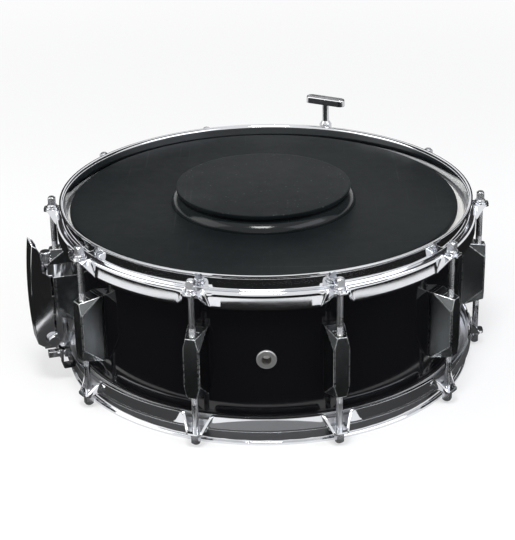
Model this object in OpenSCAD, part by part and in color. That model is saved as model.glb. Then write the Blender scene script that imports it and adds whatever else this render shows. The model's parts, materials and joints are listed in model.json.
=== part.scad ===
// Fourteen by five inch snare drum with triple-flanged hoops, ten double-ended
// lugs, a lever strainer, twenty snare wires, a practice pad and a drum key.
// Millimetres, +Z up. The origin is the centre of the lower rim's plane.
// Angles go round from the vent (-Y) towards +X.

/* [Shell] */
// Outer radius of the shell
shell_r = 177.4; // [160:0.2:185]
// Wall of the ply shell
shell_t = 7.4; // [5:0.2:10]
// Height of the shell between its two bearing edges
shell_h = 127; // [110:1:170]
// Width of the rounded outer lip of a bearing edge
edge_lip = 1.5; // [1:0.1:2]
// Depth of each snare bed in the lower bearing edge
bed_depth = 1.5; // [0.5:0.1:2.5]
// Width of each snare bed
bed_w = 90; // [70:1:110]

/* [Vent] */
// Radius of the vent's open bore
vent_bore_r = 4.2; // [3:0.1:5]
// Wall of the vent's tube
vent_wall = 1.2; // [0.8:0.1:2]
// Radius of the vent's flanges
vent_flange_r = 8.4; // [7.5:0.1:10]
// Thickness of each vent flange
vent_flange_t = 1.4; // [1:0.1:2]

/* [Heads] */
// Thickness of a drum head's film
film_t = 0.3; // [0.2:0.05:0.5]
// Gap between the shell and the flesh hoops
flesh_gap = 0.9; // [0.6:0.1:1.5]
// Radial width of a flesh hoop
flesh_w = 6.8; // [5:0.1:8]
// Height of a flesh hoop
flesh_h = 7; // [5:0.1:9]

/* [Hoops] */
// Sheet that the hoops are pressed from
sheet_t = 2; // [1.6:0.1:2.3]
// Overall height of a hoop
hoop_h = 28; // [25:0.5:32]
// Depth of the hoop's step below its rim
step_depth = 13; // [11:0.5:16]
// Distance from a rim's plane to the bearing edge near it
rim_rise = 13.7; // [12.5:0.1:14.2]
// How far the collar's inner face stands outside the flesh hoop's inner face
collar_set = 1.7; // [1:0.1:2]
// Gap between the flesh hoop and the skirt
skirt_gap = 0.4; // [0.3:0.1:0.8]
// Outer bend radius of the rim and the skirt
bend_r = 2.6; // [2.4:0.1:3]
// Flat run of the rim between its bend and its round edge
rim_flat = 0.9; // [0.5:0.1:1.6]
// Inner fillet between the collar and the step
fillet_r = 0.8; // [0.6:0.1:1.2]
// Width of an ear
ear_w = 14.6; // [12:0.2:17]
// Length of an ear beyond the rod's centre
ear_nose = 7.8; // [7:0.1:10]
// Corner radius of an ear
ear_corner_r = 3.2; // [2:0.1:4]
// Gap in the skirt below an ear, measured at the skirt's free edge
skirt_gap_w = 25; // [22:0.5:30]
// Width of the snare gates in the lower hoop
gate_w = 44; // [30:1:60]
// Height of the snare gates
gate_h = 9; // [6:0.5:10]

/* [Tension rods] */
// Diameter of a tension rod
rod_d = 5.6; // [5:0.1:6]
// Distance from the skirt to the rods' centre line
rod_out = 5; // [4.5:0.1:7]
// How far a rod runs past its swivel nut
rod_tail = 3; // [1:0.5:5]
// Diameter of a rod's round collar
rod_collar_d = 9.4; // [8:0.1:10]
// Height of a rod's round collar
rod_collar_h = 2.2; // [1.5:0.1:3]
// Width across a rod's square key end
key_square = 6.3; // [5.5:0.1:6.5]
// Height of a rod's square key end
key_h = 7.4; // [6:0.1:8]
// Diameter of a washer
washer_d = 12; // [11:0.1:13]
// Thickness of a washer
washer_t = 1.2; // [0.8:0.1:1.4]
// Radial clearance of a rod in an ear and in a washer
rod_clear = 0.5; // [0.3:0.05:0.8]
// Radial clearance of a screw in its own thread
thread_clear = 0.05; // [0.02:0.01:0.1]

/* [Lugs] */
// Height of a lug at its base
lug_h = 61; // [54:1:70]
// Width of a lug at its base
lug_base_w = 17; // [15.5:0.1:22]
// Width of a lug's front ridge
lug_front_w = 14.4; // [13.4:0.1:15.2]
// Distance from a rod's centre to the front of the lug
lug_nose = 6.2; // [5.8:0.1:8]
// How far the ends of the front ridge stand in from the ends of the base
lug_slope = 3.5; // [2:0.1:5]
// Height of the corner facets on the front ridge
facet_h = 12; // [8:0.5:14]
// How much a corner facet takes off the ridge's end
facet_in = 3; // [1.5:0.1:3.4]
// How far the lugs' centre sits below the shell's middle
lug_drop = 2.7; // [0:0.1:4]
// Radius of a swivel nut
nut_r = 4.1; // [3.8:0.05:4.3]
// Length of a swivel nut
nut_len = 14; // [10:0.5:16]
// Depth of a swivel nut's face below the end of the lug's base
nut_sink = 4.5; // [4:0.5:8]
// Radial clearance of a swivel nut in its lug
nut_clear = 0.2; // [0.15:0.05:0.3]
// Distance between a lug's two mounting screws
lug_screw_pitch = 32; // [26:1:36]

/* [Screws] */
// Radius of a mounting screw
screw_r = 2; // [1.6:0.1:2.5]
// Radius of a mounting screw's head
screw_head_r = 4.2; // [3.6:0.1:5]
// Height of a mounting screw's head
screw_head_h = 2.6; // [2:0.1:3.5]
// Radial clearance of a mounting screw in the shell
screw_clear = 0.4; // [0.2:0.1:0.6]
// Depth of a mounting screw in what it holds
screw_grip = 6; // [4:0.5:7]
// Gap between the shell and what is seated on it
seat_gap = 0.1; // [0.05:0.05:0.2]

/* [Strainer] */
// Angle of the strainer from the vent
strainer_a = -72; // [-72:36:72]
// Distance from the shell to the lever's pivot
pivot_out = 24.6; // [23:0.1:27]
// Height of the lever's pivot above the lower rim
pivot_z = 45; // [44:0.5:48]
// Diameter of the lever's pivot pin
pivot_d = 5; // [4:0.1:6]
// Radius of the pin's round ends
pin_head_r = 5; // [4:0.1:6]
// Width of the lever
lever_w = 22; // [20:0.5:24]
// Wall of the lever
lever_t = 2.4; // [2:0.1:3]
// Length of the lever above its pivot
lever_top = 94; // [85:1:98]
// Distance from the pivot to the outermost point of the lever
lever_out = 16.3; // [15.5:0.1:18]
// Radius of the lever's bowed face
lever_bow_r = 400; // [250:10:600]
// Throw of the lever from on to off, in degrees
lever_throw = 70; // [50:1:75]
// Height of the lift block above the pivot with the snares on
cam_rise = 17; // [15:0.5:20]
// Fall of the lift block over the lever's throw
lift_fall = 7; // [4:0.5:7.5]
// Wall of the strainer's frame
frame_t = 2.5; // [2:0.1:3]
// Gap between parts of the strainer that slide on each other
slide_gap = 0.3; // [0.2:0.05:0.4]
// Height of the frame above the lever's pivot
frame_top = 61; // [58:0.5:64]
// Height of the lift block
lift_h = 6; // [5:0.5:8]
// Play between the lift block and the carriage for fine tuning
tune_play = 4; // [3:0.5:5]
// Height of the carriage's threaded block
carriage_h = 14; // [10:1:16]
// Diameter of the tensioning screw
tune_screw_d = 5; // [4:0.1:6]
// Radius of the tensioning knob
knob_r = 5; // [4.5:0.1:6]
// Height of the tensioning knob
knob_h = 12; // [10:0.5:14]
// Clearance under the tensioning knob with the snares on
knob_lift = 8; // [8:0.5:10]

/* [Snares] */
// Number of snare wires
wire_n = 20; // [12:2:24]
// Distance between neighbouring wires
wire_pitch = 2.1; // [1.8:0.05:2.6]
// Diameter of a coiled wire
wire_d = 1.6; // [1.2:0.1:1.7]
// Length of the wires between their end plates
wire_len = 290; // [250:5:300]
// Length of an end plate
end_plate_len = 13; // [10:0.5:16]
// Thickness of an end plate
end_plate_t = 1; // [0.8:0.1:1.2]
// Width of a snare strap
strap_w = 13; // [10:0.5:14]
// Thickness of a snare strap
strap_t = 0.4; // [0.3:0.05:0.5]
// Gap on each side of a strap in its clamp
strap_gap = 0.3; // [0.2:0.05:0.4]
// Distance from the lower hoop's skirt to the straps' upright run
strap_out = 6; // [5.6:0.1:7]
// Height of a clamp
clamp_h = 8; // [7.5:0.5:10]
// Distance between a clamp's two screws
clamp_pitch = 19; // [18.5:0.5:21]
// Thickness of a clamp plate
clamp_t = 3.6; // [3:0.1:5]
// Radius of a clamp screw
clamp_screw_r = 1.8; // [1.5:0.1:2]
// Height of the butt plate's clamp above the lower rim
butt_clamp_z = 44; // [40:0.5:60]
// Height of the butt plate's body
butt_h = 34; // [30:1:44]

/* [Practice pad] */
// Gap between the pad and the batter hoop's collar where they are closest
pad_gap = 0.8; // [0.5:0.1:4]
// Distance of the pad's centre from the drum's centre
pad_shift = 5.4; // [0:0.1:6]
// Direction in which the pad lies off centre
pad_a = -158; // [-180:1:180]
// Thickness of the pad's skirt
pad_t = 6; // [4:0.1:7]
// Radius of the pad's raised disc
disc_r = 78; // [60:1:90]
// Height of the raised disc above the pad's skirt
disc_h = 13; // [11:0.5:16]
// Depth of the groove under the disc's lid
groove_in = 3; // [1:0.1:5]
// Height of the groove under the disc's lid
groove_h = 2.8; // [0.5:0.1:3]
// Radius of the rounded foot under the groove
foot_bulge_r = 3.4; // [3:0.1:4.8]
// Gap between the pad and the batter head
pad_rest = 0.3; // [0.1:0.05:0.3]

/* [Drum key] */
// Number of the tension rod that carries the key
key_rod = 5; // [1:1:10]
// Length of the key's handle
handle_len = 41; // [30:1:45]
// Width of the key's handle
handle_w = 10; // [6:0.5:12]
// Thickness of the key's handle
handle_t = 7; // [5:0.5:8]
// Height of the whole key
drum_key_h = 37; // [31:1:42]
// Radius of the key's stem
stem_r = 3.4; // [3:0.1:4]
// Radius of the key's socket
socket_r = 6; // [5.4:0.1:7]
// Clearance of the socket on each side of a rod's square end
socket_clear = 0.2; // [0.1:0.05:0.3]
// Turn of the handle about the rod from the radial direction
key_turn = 81; // [0:1:180]

/* [Hidden] */
LUGS = 10;
$fn = 96;

BLACK = [0.03, 0.03, 0.035];
DARK = [0.12, 0.12, 0.13];
CHROME = [0.78, 0.79, 0.81];
STEEL = [0.6, 0.6, 0.62];
FILM = [0.93, 0.93, 0.9];
CLEAR = [0.85, 0.88, 0.9, 0.5];
RUBBER = [0.1, 0.11, 0.115];

cut = 1;                                   // how far a cut runs past its solid
drum_h = shell_h + 2 * rim_rise;
shell_z = rim_rise;                        // height of the lower bearing edge
shell_top = rim_rise + shell_h;
shell_ri = shell_r - shell_t;
lug_step = 360 / LUGS;
butt_a = strainer_a + 180;
function lug_angle(i) = lug_step * (i - 0.5);

flesh_ri = shell_r + flesh_gap;
flesh_ro = flesh_ri + flesh_w;
collar_ri = flesh_ri + collar_set;
skirt_ri = flesh_ro + skirt_gap;
skirt_ro = skirt_ri + sheet_t;
rod_circle = skirt_ro + rod_out;
ear_r = rod_circle + ear_nose;
rod_hole_r = rod_d / 2 + rod_clear;
washer_z = drum_h - step_depth;            // top face of the batter hoop's step
lug_z = drum_h / 2 - lug_drop;
lug_r = rod_circle + lug_nose;
nut_z = lug_h / 2 - nut_sink;              // a nut's outer face, from the lug's centre
rod_point = 1.5;                           // length of a rod's tapered point

pivot_r = shell_r + pivot_out;
frame_in = lever_w / 2 + slide_gap;        // inner face of the frame's cheeks
frame_w = 2 * (frame_in + frame_t);
frame_r = pivot_r - 3;                     // front edge of the frame's cheeks
frame_z = pivot_z - 7;
lift_z = pivot_z + cam_rise;               // underside of the lift block
carriage_z = lift_z + lift_h + tune_play;
bridge_z = pivot_z + frame_top;            // top face of the frame's bridge
knob_z = bridge_z + knob_lift;
cheek_in = lever_w / 2 - lever_t;          // inner face of the lever's cheeks
cam_k = lift_fall / (lever_throw * PI / 180);

strap_r = skirt_ro + strap_out;            // inner face of the straps' upright run
strap_z = step_depth - slide_gap - strap_t; // lower face of the straps' level run
throw_clamp_z = pivot_z - pin_head_r - 5 - clamp_h;
carriage_r = skirt_ro + slide_gap + 0.5;   // inner face of the carriage
head_z = shell_z - film_t;                 // outer face of the snare head
wire_z = head_z - 0.3 - wire_d / 2;
plate_z = wire_z - wire_d / 2 - end_plate_t;
plate_w = wire_n * wire_pitch;
key_z = washer_z + washer_t + rod_collar_h;
pad_z = shell_top + film_t + pad_rest;     // underside of the practice pad

// ---------------------------------------------------------------- helpers

// Turns a piece to angle a, with local +X outwards and +Y along the rim.
module at(a) {
    rotate([0, 0, a - 90]) children();
}

module at_lugs() {
    for (i = [1 : LUGS]) at(lug_angle(i)) children();
}

// Cylinder along local X from x0 to x1.
module bar_x(x0, x1, r) {
    translate([x0, 0, 0]) rotate([0, 90, 0]) cylinder(h = x1 - x0, r = r);
}

// Cylinder along local Y, centred on y = 0.
module bar_y(w, r) {
    rotate([90, 0, 0]) cylinder(h = w, r = r, center = true);
}

// Extrudes an x-z profile along Y, centred on y = 0.
module slab_y(w) {
    rotate([90, 0, 0]) linear_extrude(w, center = true) children();
}

function unit(v) = v / norm(v);

// Places children with +X along a-b, +Z normal to the plane of a, b and c, and the origin at a.
module on_plane(a, b, c) {
    u = unit(b - a);
    n = unit(cross(b - a, c - a));
    v = cross(n, u);
    multmatrix([[u[0], v[0], n[0], a[0]],
                [u[1], v[1], n[1], a[1]],
                [u[2], v[2], n[2], a[2]],
                [0, 0, 0, 1]]) children();
}

// Triangular plate of thickness t with its middle plane through a, b and c.
module web(a, b, c, t) {
    u = unit(b - a);
    v = cross(unit(cross(b - a, c - a)), u);
    on_plane(a, b, c) linear_extrude(t, center = true)
        polygon([[0, 0], [norm(b - a), 0], [(c - a) * u, (c - a) * v]]);
}

// Quarter ring in quadrant [sx, sy] of its centre, for bent sheet.
module bend(ri, ro, sx, sy) {
    intersection() {
        difference() {
            circle(ro);
            circle(ri);
        }
        translate([sx > 0 ? 0 : -ro, sy > 0 ? 0 : -ro]) square(ro);
    }
}

// Flat bar from x = 0 to x = l with rounded corners at its far end.
module tab(l, w, r) {
    translate([0, -w / 2]) square([l - r, w]);
    translate([0, -w / 2 + r]) square([l, w - 2 * r]);
    for (s = [-1, 1]) translate([l - r, s * (w / 2 - r)]) circle(r);
}

// ---------------------------------------------------------------- shell

module shell() {
    color(BLACK) difference() {
        rotate_extrude($fn = 180) polygon([
            [shell_ri, shell_z + shell_t - edge_lip],
            [shell_r - edge_lip, shell_z],
            [shell_r, shell_z + edge_lip],
            [shell_r, shell_top - edge_lip],
            [shell_r - edge_lip, shell_top],
            [shell_ri, shell_top - shell_t + edge_lip]]);
        for (a = [strainer_a, butt_a]) at(a) snare_bed();
        at(0) translate([0, 0, drum_h / 2])
            bar_x(shell_ri - cut, shell_r + cut, vent_bore_r + vent_wall + screw_clear);
        at_screws() bar_x(shell_ri - cut, shell_r + cut, screw_r + screw_clear);
    }
}

// Shallow hollow across the lower bearing edge.
module snare_bed() {
    r = (bed_w * bed_w / 4 + bed_depth * bed_depth) / (2 * bed_depth);
    translate([0, 0, shell_z + bed_depth - r])
        rotate([0, 90, 0]) translate([0, 0, shell_ri - 4 * cut])
            cylinder(h = shell_t + 8 * cut, r = r, $fn = 720);
}

// Places a child at the axis of every screw that goes through the shell.
module at_screws() {
    at_lugs() for (s = [-1, 1]) translate([0, 0, lug_z + s * lug_screw_pitch / 2]) children();
    for (z = strainer_screw_z) at(strainer_a) translate([0, 0, z]) children();
    for (z = butt_screw_z) at(butt_a) translate([0, 0, z]) children();
}

strainer_screw_z = [frame_z + 10, bridge_z - 14];
butt_z = butt_clamp_z - clamp_h / 2 - 3;
butt_screw_z = [butt_z + clamp_h + 6, butt_z + butt_h - 5.5];

module vent_grommet() {
    color(CHROME) at(0) translate([0, 0, drum_h / 2]) rotate([0, 90, 0])
        rotate_extrude() {
            in_x = shell_ri - vent_flange_t - seat_gap;
            out_x = shell_r + seat_gap;
            translate([vent_bore_r, in_x])
                square([vent_wall, out_x + vent_flange_t - in_x]);
            translate([vent_bore_r, in_x]) square([vent_flange_r - vent_bore_r - 1, vent_flange_t]);
            difference() {
                translate([vent_bore_r, out_x]) square([vent_flange_r - vent_bore_r, vent_flange_t]);
                translate([vent_flange_r, out_x + vent_flange_t]) circle(vent_flange_t / 2);
            }
        }
}

// ---------------------------------------------------------------- hoops

// Section of a pressed hoop: x is the radius, y = 0 is the rim and the skirt hangs down.
module hoop_profile() {
    bend_ri = bend_r - sheet_t;
    rim_x = collar_ri + bend_r;
    foot_r = fillet_r + sheet_t;
    foot_x = collar_ri + foot_r;
    foot_y = -step_depth + fillet_r;
    turn_x = skirt_ro - bend_r;
    turn_y = -step_depth - bend_r;
    translate([rim_x, -sheet_t]) square([rim_flat, sheet_t]);
    translate([rim_x + rim_flat, -sheet_t / 2]) circle(sheet_t / 2, $fn = 32);
    translate([rim_x, -bend_r]) bend(bend_ri, bend_r, -1, 1);
    translate([collar_ri, foot_y]) square([sheet_t, -bend_r - foot_y]);
    translate([foot_x, foot_y]) bend(fillet_r, foot_r, -1, -1);
    translate([foot_x, -step_depth - sheet_t]) square([turn_x - foot_x, sheet_t]);
    translate([turn_x, turn_y]) bend(bend_ri, bend_r, 1, 1);
    translate([skirt_ri, -hoop_h]) square([sheet_t, turn_y + hoop_h]);
}

// Ear for one rod, and the two webs that fold down from it to the skirt's cut ends.
module ear() {
    mid_z = -step_depth - sheet_t / 2;
    root_x = skirt_ro - sheet_t / 2;
    translate([skirt_ro - bend_r, 0, -step_depth - sheet_t]) linear_extrude(sheet_t)
        tab(ear_r - skirt_ro + bend_r, ear_w, ear_corner_r);
    for (s = [-1, 1])
        web([root_x, s * (ear_w / 2 - 1), mid_z],
            [ear_r - ear_corner_r, s * (ear_w / 2 - 1), mid_z],
            [root_x, s * (skirt_gap_w / 2 + 0.6), -hoop_h + 1], sheet_t);
}

// Opening in the skirt under one ear.
module skirt_cut() {
    top = ear_w / 2 - 1;
    translate([skirt_ri - cut, 0, 0]) rotate([90, 0, 90]) linear_extrude(sheet_t + 2 * cut)
        polygon([[-top, -step_depth - sheet_t], [top, -step_depth - sheet_t],
                 [skirt_gap_w / 2, -hoop_h - cut], [-skirt_gap_w / 2, -hoop_h - cut]]);
}

module hoop() {
    difference() {
        union() {
            difference() {
                rotate_extrude($fn = 180) hoop_profile();
                at_lugs() skirt_cut();
            }
            at_lugs() ear();
        }
        at_lugs() translate([rod_circle, 0, -hoop_h]) cylinder(h = hoop_h, r = rod_hole_r);
    }
}

module batter_hoop() {
    color(CHROME) translate([0, 0, drum_h]) hoop();
}

gate_sag = gate_w * gate_w / (8 * collar_ri) + 0.5;   // how far the collar curves inwards over a gate

module snare_hoop() {
    color(CHROME) difference() {
        mirror([0, 0, 1]) hoop();
        for (a = [strainer_a, butt_a]) at(a)
            translate([collar_ri - gate_sag - cut, -gate_w / 2, step_depth - gate_h])
                cube([gate_sag + sheet_t + fillet_r + 2 * cut, gate_w, gate_h - slide_gap / 3]);
    }
}

// ---------------------------------------------------------------- heads

// Film over one bearing edge, drawn with the edge's plane at y = 0.
module head_film() {
    lip_x = shell_r - edge_lip;
    drop = edge_lip + 1.2;
    hem_x = flesh_ri - 0.05 - film_t;
    rotate_extrude($fn = 180) polygon([
        [0, 0], [lip_x, 0], [shell_r + 0.1, -edge_lip], [hem_x, -drop], [hem_x, -drop - flesh_h],
        [hem_x + film_t, -drop - flesh_h], [hem_x + film_t, -drop],
        [shell_r + 0.1 + film_t / 2, -edge_lip + film_t / 2], [lip_x + film_t / 2, film_t], [0, film_t]]);
}

module batter_head() {
    color(FILM) translate([0, 0, shell_top]) head_film();
}

module snare_head() {
    color(CLEAR) translate([0, 0, shell_z]) mirror([0, 0, 1]) head_film();
}

// Channel ring that grips the film, drawn with its seat on the hoop's step at y = 0.
module flesh_hoop() {
    groove_w = flesh_w / 3;
    rotate_extrude($fn = 180) difference() {
        translate([flesh_ri, -flesh_h]) square([flesh_w, flesh_h]);
        translate([flesh_ri + flesh_w / 2 - groove_w / 2, -flesh_h - cut]) square([groove_w, cut + flesh_h / 3]);
        translate([flesh_ro, 0]) circle(1, $fn = 32);
    }
}

module batter_flesh_hoop() {
    color(STEEL) translate([0, 0, drum_h - step_depth - sheet_t]) flesh_hoop();
}

module snare_flesh_hoop() {
    color(STEEL) translate([0, 0, step_depth + sheet_t]) mirror([0, 0, 1]) flesh_hoop();
}

// ---------------------------------------------------------------- lugs and rods

// Half-space outside the plane through a, b and c, as a large block.
module beyond(a, b, c) {
    on_plane(a, b, c) translate([-lug_h, -lug_h, 0]) cube([2 * lug_h, 2 * lug_h, lug_h]);
}

module lug() {
    base_x = shell_ri;
    half_h = lug_h / 2;
    front_z = half_h - lug_slope;
    half_b = lug_base_w / 2;
    half_f = lug_front_w / 2;
    foot_x = shell_r + 3;
    translate([0, 0, lug_z]) difference() {
        slab_like_lug(base_x, half_h, front_z, half_b, half_f, foot_x);
        cylinder(h = 4 * lug_h, r = shell_r + seat_gap, center = true, $fn = 180);
        for (s = [-1, 1]) mirror([0, 0, s > 0 ? 0 : 1]) lug_end(half_h, front_z, half_b, half_f, foot_x);
        for (s = [-1, 1]) translate([0, 0, s * lug_screw_pitch / 2])
            bar_x(base_x, shell_r + screw_grip, screw_r + thread_clear);
    }
}

// Outer block of a lug: a base flange, then flanks that draw in to the front ridge.
module slab_like_lug(base_x, half_h, front_z, half_b, half_f, foot_x) {
    intersection() {
        translate([0, 0, -half_h]) linear_extrude(2 * half_h)
            polygon([[base_x, -half_b], [foot_x, -half_b], [lug_r - 1, -half_f], [lug_r, -half_f + 1],
                     [lug_r, half_f - 1], [lug_r - 1, half_f], [foot_x, half_b], [base_x, half_b]]);
        slab_y(2 * lug_base_w)
            polygon([[base_x, -half_h], [foot_x, -half_h], [lug_r, -front_z], [lug_r, front_z],
                     [foot_x, half_h], [base_x, half_h]]);
    }
}

// Cuts at a lug's upper end: corner facets, the nut's pocket and the rod's run below it.
module lug_end(half_h, front_z, half_b, half_f, foot_x) {
    p_out = [lug_r, half_f, front_z - facet_h];
    p_in = [lug_r, half_f - facet_in, front_z];
    p_foot = [foot_x, half_b, half_h];
    beyond(p_in, p_out, p_foot);
    mirror([0, 1, 0]) beyond(p_in, p_out, p_foot);
    translate([rod_circle, 0, nut_z - nut_len - 1]) cylinder(h = lug_h, r = nut_r + nut_clear);
    translate([rod_circle - nut_r - nut_clear, 0, nut_z])
        translate([0, -nut_r - nut_clear, 0]) cube([nut_r + nut_clear, 2 * (nut_r + nut_clear), lug_h]);
    translate([rod_circle, 0, nut_z - nut_len - rod_tail - rod_point - 1])
        cylinder(h = lug_h, r = rod_hole_r);
}

// Swivel nuts at both ends of every lug.
module swivel_nuts() {
    color(CHROME) at_lugs() for (s = [-1, 1])
        translate([rod_circle, 0, lug_z + s * nut_z]) mirror([0, 0, s > 0 ? 1 : 0])
            difference() {
                union() {
                    cylinder(h = nut_len, r = nut_r);
                    translate([0, 0, -1.5]) cylinder(h = 1.5 + cut, r = nut_r - 0.7);
                }
                translate([0, 0, -cut - 1.5])
                    cylinder(h = nut_len + 2 * cut + 1.5, r = rod_d / 2 + thread_clear);
            }
}

// Rod with its washer's seat at the origin, hanging down by reach.
module tension_rod(reach) {
    collar_top = washer_t + rod_collar_h;
    translate([0, 0, -reach]) cylinder(h = reach + washer_t, r = rod_d / 2);
    translate([0, 0, -reach - rod_point]) cylinder(h = rod_point, r1 = rod_d / 2 - 1.2, r2 = rod_d / 2);
    translate([0, 0, washer_t]) cylinder(h = rod_collar_h - 0.6, r = rod_collar_d / 2);
    translate([0, 0, collar_top - 0.6])
        cylinder(h = 0.6, r1 = rod_collar_d / 2, r2 = rod_collar_d / 2 - 0.8);
    intersection() {
        translate([-key_square / 2, -key_square / 2, collar_top - 0.1])
            cube([key_square, key_square, key_h + 0.1]);
        union() {
            translate([0, 0, collar_top - 0.1]) cylinder(h = key_h - 1.4, r = key_square);
            translate([0, 0, collar_top + key_h - 1.5])
                cylinder(h = 1.5, r1 = key_square / 2 + 1.1, r2 = key_square / 2 - 0.7);
        }
    }
}

module batter_rod(i) {
    color(CHROME) at(lug_angle(i)) translate([rod_circle, 0, washer_z])
        tension_rod(washer_z - lug_z - nut_z + nut_len + rod_tail);
}

module snare_rod(i) {
    color(CHROME) at(lug_angle(i)) translate([rod_circle, 0, step_depth])
        mirror([0, 0, 1]) tension_rod(lug_z - nut_z + nut_len + rod_tail - step_depth);
}

module washer() {
    difference() {
        cylinder(h = washer_t - 0.1, r = washer_d / 2);
        translate([0, 0, -cut]) cylinder(h = washer_t + 2 * cut, r = rod_hole_r - 0.2);
    }
}

module batter_washers() {
    color(CHROME) at_lugs() translate([rod_circle, 0, washer_z]) washer();
}

module snare_washers() {
    color(CHROME) at_lugs() translate([rod_circle, 0, step_depth]) mirror([0, 0, 1]) washer();
}

// Screws from inside the shell into the lugs, the strainer and the butt plate.
module mounting_screws() {
    color(STEEL) at_screws() {
        bar_x(shell_ri - 1, shell_r + screw_grip - 0.5, screw_r);
        bar_x(shell_ri - 1 - screw_head_h, shell_ri - 1, screw_head_r);
        bar_x(shell_ri - 1, shell_ri - seat_gap, screw_head_r + 1.6);
    }
}

// ---------------------------------------------------------------- strainer

// Cast frame: a seat on the shell, two cheeks that carry the pin, and a bridge for the knob's screw.
module strainer_frame() {
    h = bridge_z - frame_z;
    color(CHROME) at(strainer_a) difference() {
        union() {
            translate([shell_ri, -frame_w / 2, frame_z])
                cube([carriage_r - slide_gap - shell_ri, frame_w, h]);
            for (s = [-1, 1]) translate([0, s * (frame_in + frame_t / 2), 0]) slab_y(frame_t) cheek();
            translate([shell_ri, -frame_w / 2, bridge_z - frame_t])
                cube([frame_r - shell_ri, frame_w, frame_t]);
            translate([shell_ri, slide_gap - cheek_in, bridge_z - frame_t])
                cube([pivot_r + knob_r + 1 - shell_ri, 2 * (cheek_in - slide_gap), frame_t]);
        }
        cylinder(h = 2 * drum_h, r = shell_r + seat_gap, $fn = 180);
        translate([pivot_r, 0, pivot_z]) bar_y(frame_w + cut, pivot_d / 2 + thread_clear);
        translate([pivot_r, 0, bridge_z - frame_t - cut])
            cylinder(h = frame_t + 2 * cut, r = tune_screw_d / 2 + slide_gap);
        for (z = strainer_screw_z) translate([0, 0, z])
            bar_x(shell_ri, shell_r + screw_grip, screw_r + thread_clear);
    }
}

module cheek() {
    difference() {
        union() {
            translate([shell_ri, frame_z]) square([frame_r - shell_ri, bridge_z - frame_z]);
            translate([pivot_r, pivot_z]) circle(pin_head_r + 1.5);
            translate([frame_r - 5, pivot_z]) square([8, pin_head_r + 1.5]);
        }
        translate([frame_r, frame_z]) circle(3);
    }
}

// Outline of the lever seen from the side: x outwards, y up from the pivot.
module lever_outline(inset) {
    top = lever_top - inset;
    face_z = 43;
    intersection() {
        union() {
            polygon([[-2, 5], [-2, 17], [-1.5, 60], [5.5, 66], [6.5, 84], [9, 89], [lever_out, top],
                     [lever_out + 1, 0], [9, -6], [2, -3]]);
            circle(5);
        }
        translate([lever_out - lever_bow_r, face_z]) circle(lever_bow_r - inset, $fn = 720);
    }
}

// Cam that holds up the lift block: an involute, so the block falls evenly with the throw.
module cam() {
    rise = cam_rise - slide_gap;
    steps = 14;
    polygon(concat(
        [for (i = [0 : steps])
            let (t = lever_throw * i / steps, p = rise - cam_k * t * PI / 180)
                [cam_k * cos(t) - p * sin(t), cam_k * sin(t) + p * cos(t)]],
        [[-4.5, 0], [0, -4.5], [4.8, 0]]));
}

module strainer_lever() {
    color(CHROME) at(strainer_a) translate([pivot_r, 0, pivot_z]) difference() {
        union() {
            difference() {
                slab_y(lever_w) lever_outline(0);
                slab_y(2 * cheek_in) intersection() {
                    translate([lever_out - lever_bow_r, 43]) circle(lever_bow_r - lever_t, $fn = 720);
                    translate([-20, -20]) square([60, 2 * lever_top]);
                }
            }
            bar_y(lever_w, 5);
            slab_y(2 * cheek_in - 1) cam();
        }
        bar_y(lever_w + cut, pivot_d / 2 + thread_clear);
    }
}

module lever_pin() {
    reach = frame_w / 2 + 0.1;
    color(CHROME) at(strainer_a) translate([pivot_r, 0, pivot_z]) {
        bar_y(2 * reach + 2, pivot_d / 2);
        for (s = [-1, 1]) translate([0, s * (reach + 1), 0]) bar_y(2, pin_head_r);
    }
}

// Block that rides on the cam and holds the lower end of the tensioning screw.
module lift_block() {
    inner_x = carriage_r + 3 + slide_gap;
    color(STEEL) at(strainer_a) difference() {
        translate([inner_x, -cheek_in + slide_gap, lift_z])
            cube([pivot_r + 8 - inner_x, 2 * (cheek_in - slide_gap), lift_h]);
        translate([pivot_r, 0, lift_z + 1.5]) cylinder(h = lift_h, r = tune_screw_d / 2 + thread_clear);
    }
}

// Threaded block, the tail behind the lift block, and the clamp's inner jaw.
module strap_carriage() {
    tail_w = 2 * cheek_in - 2;
    jaw_w = clamp_pitch + 7;
    color(CHROME) at(strainer_a) difference() {
        union() {
            translate([carriage_r, -frame_in + slide_gap, carriage_z])
                cube([frame_r - 2 - carriage_r, 2 * (frame_in - slide_gap), carriage_h]);
            translate([carriage_r, -cheek_in + slide_gap, carriage_z])
                cube([pivot_r + 6 - carriage_r, 2 * (cheek_in - slide_gap), carriage_h]);
            translate([carriage_r, -tail_w / 2, throw_clamp_z])
                cube([3, tail_w, carriage_z - throw_clamp_z + cut]);
            translate([carriage_r, -jaw_w / 2, throw_clamp_z])
                cube([strap_r - strap_gap - carriage_r, jaw_w, clamp_h]);
        }
        translate([pivot_r, 0, carriage_z - cut])
            cylinder(h = carriage_h + 2 * cut, r = tune_screw_d / 2 + thread_clear);
        for (s = [-1, 1]) translate([0, s * clamp_pitch / 2, throw_clamp_z + clamp_h / 2])
            bar_x(carriage_r + 1, strap_r, clamp_screw_r + thread_clear);
    }
}

// Knurled knob and its screw down to the lift block.
module tension_knob() {
    foot_z = lift_z + 1.6;
    flutes = 16;
    color(CHROME) at(strainer_a) translate([pivot_r, 0, 0]) {
        translate([0, 0, foot_z]) cylinder(h = knob_z - foot_z + cut, r = tune_screw_d / 2);
        difference() {
            union() {
                translate([0, 0, knob_z]) cylinder(h = knob_h - 1, r = knob_r);
                translate([0, 0, knob_z + knob_h - 1]) cylinder(h = 1, r1 = knob_r, r2 = knob_r - 1);
            }
            for (i = [1 : flutes]) rotate([0, 0, i * 360 / flutes])
                translate([knob_r + 0.2, 0, knob_z + 1.5]) cylinder(h = knob_h - 3, r = 0.6, $fn = 24);
        }
    }
}

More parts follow.
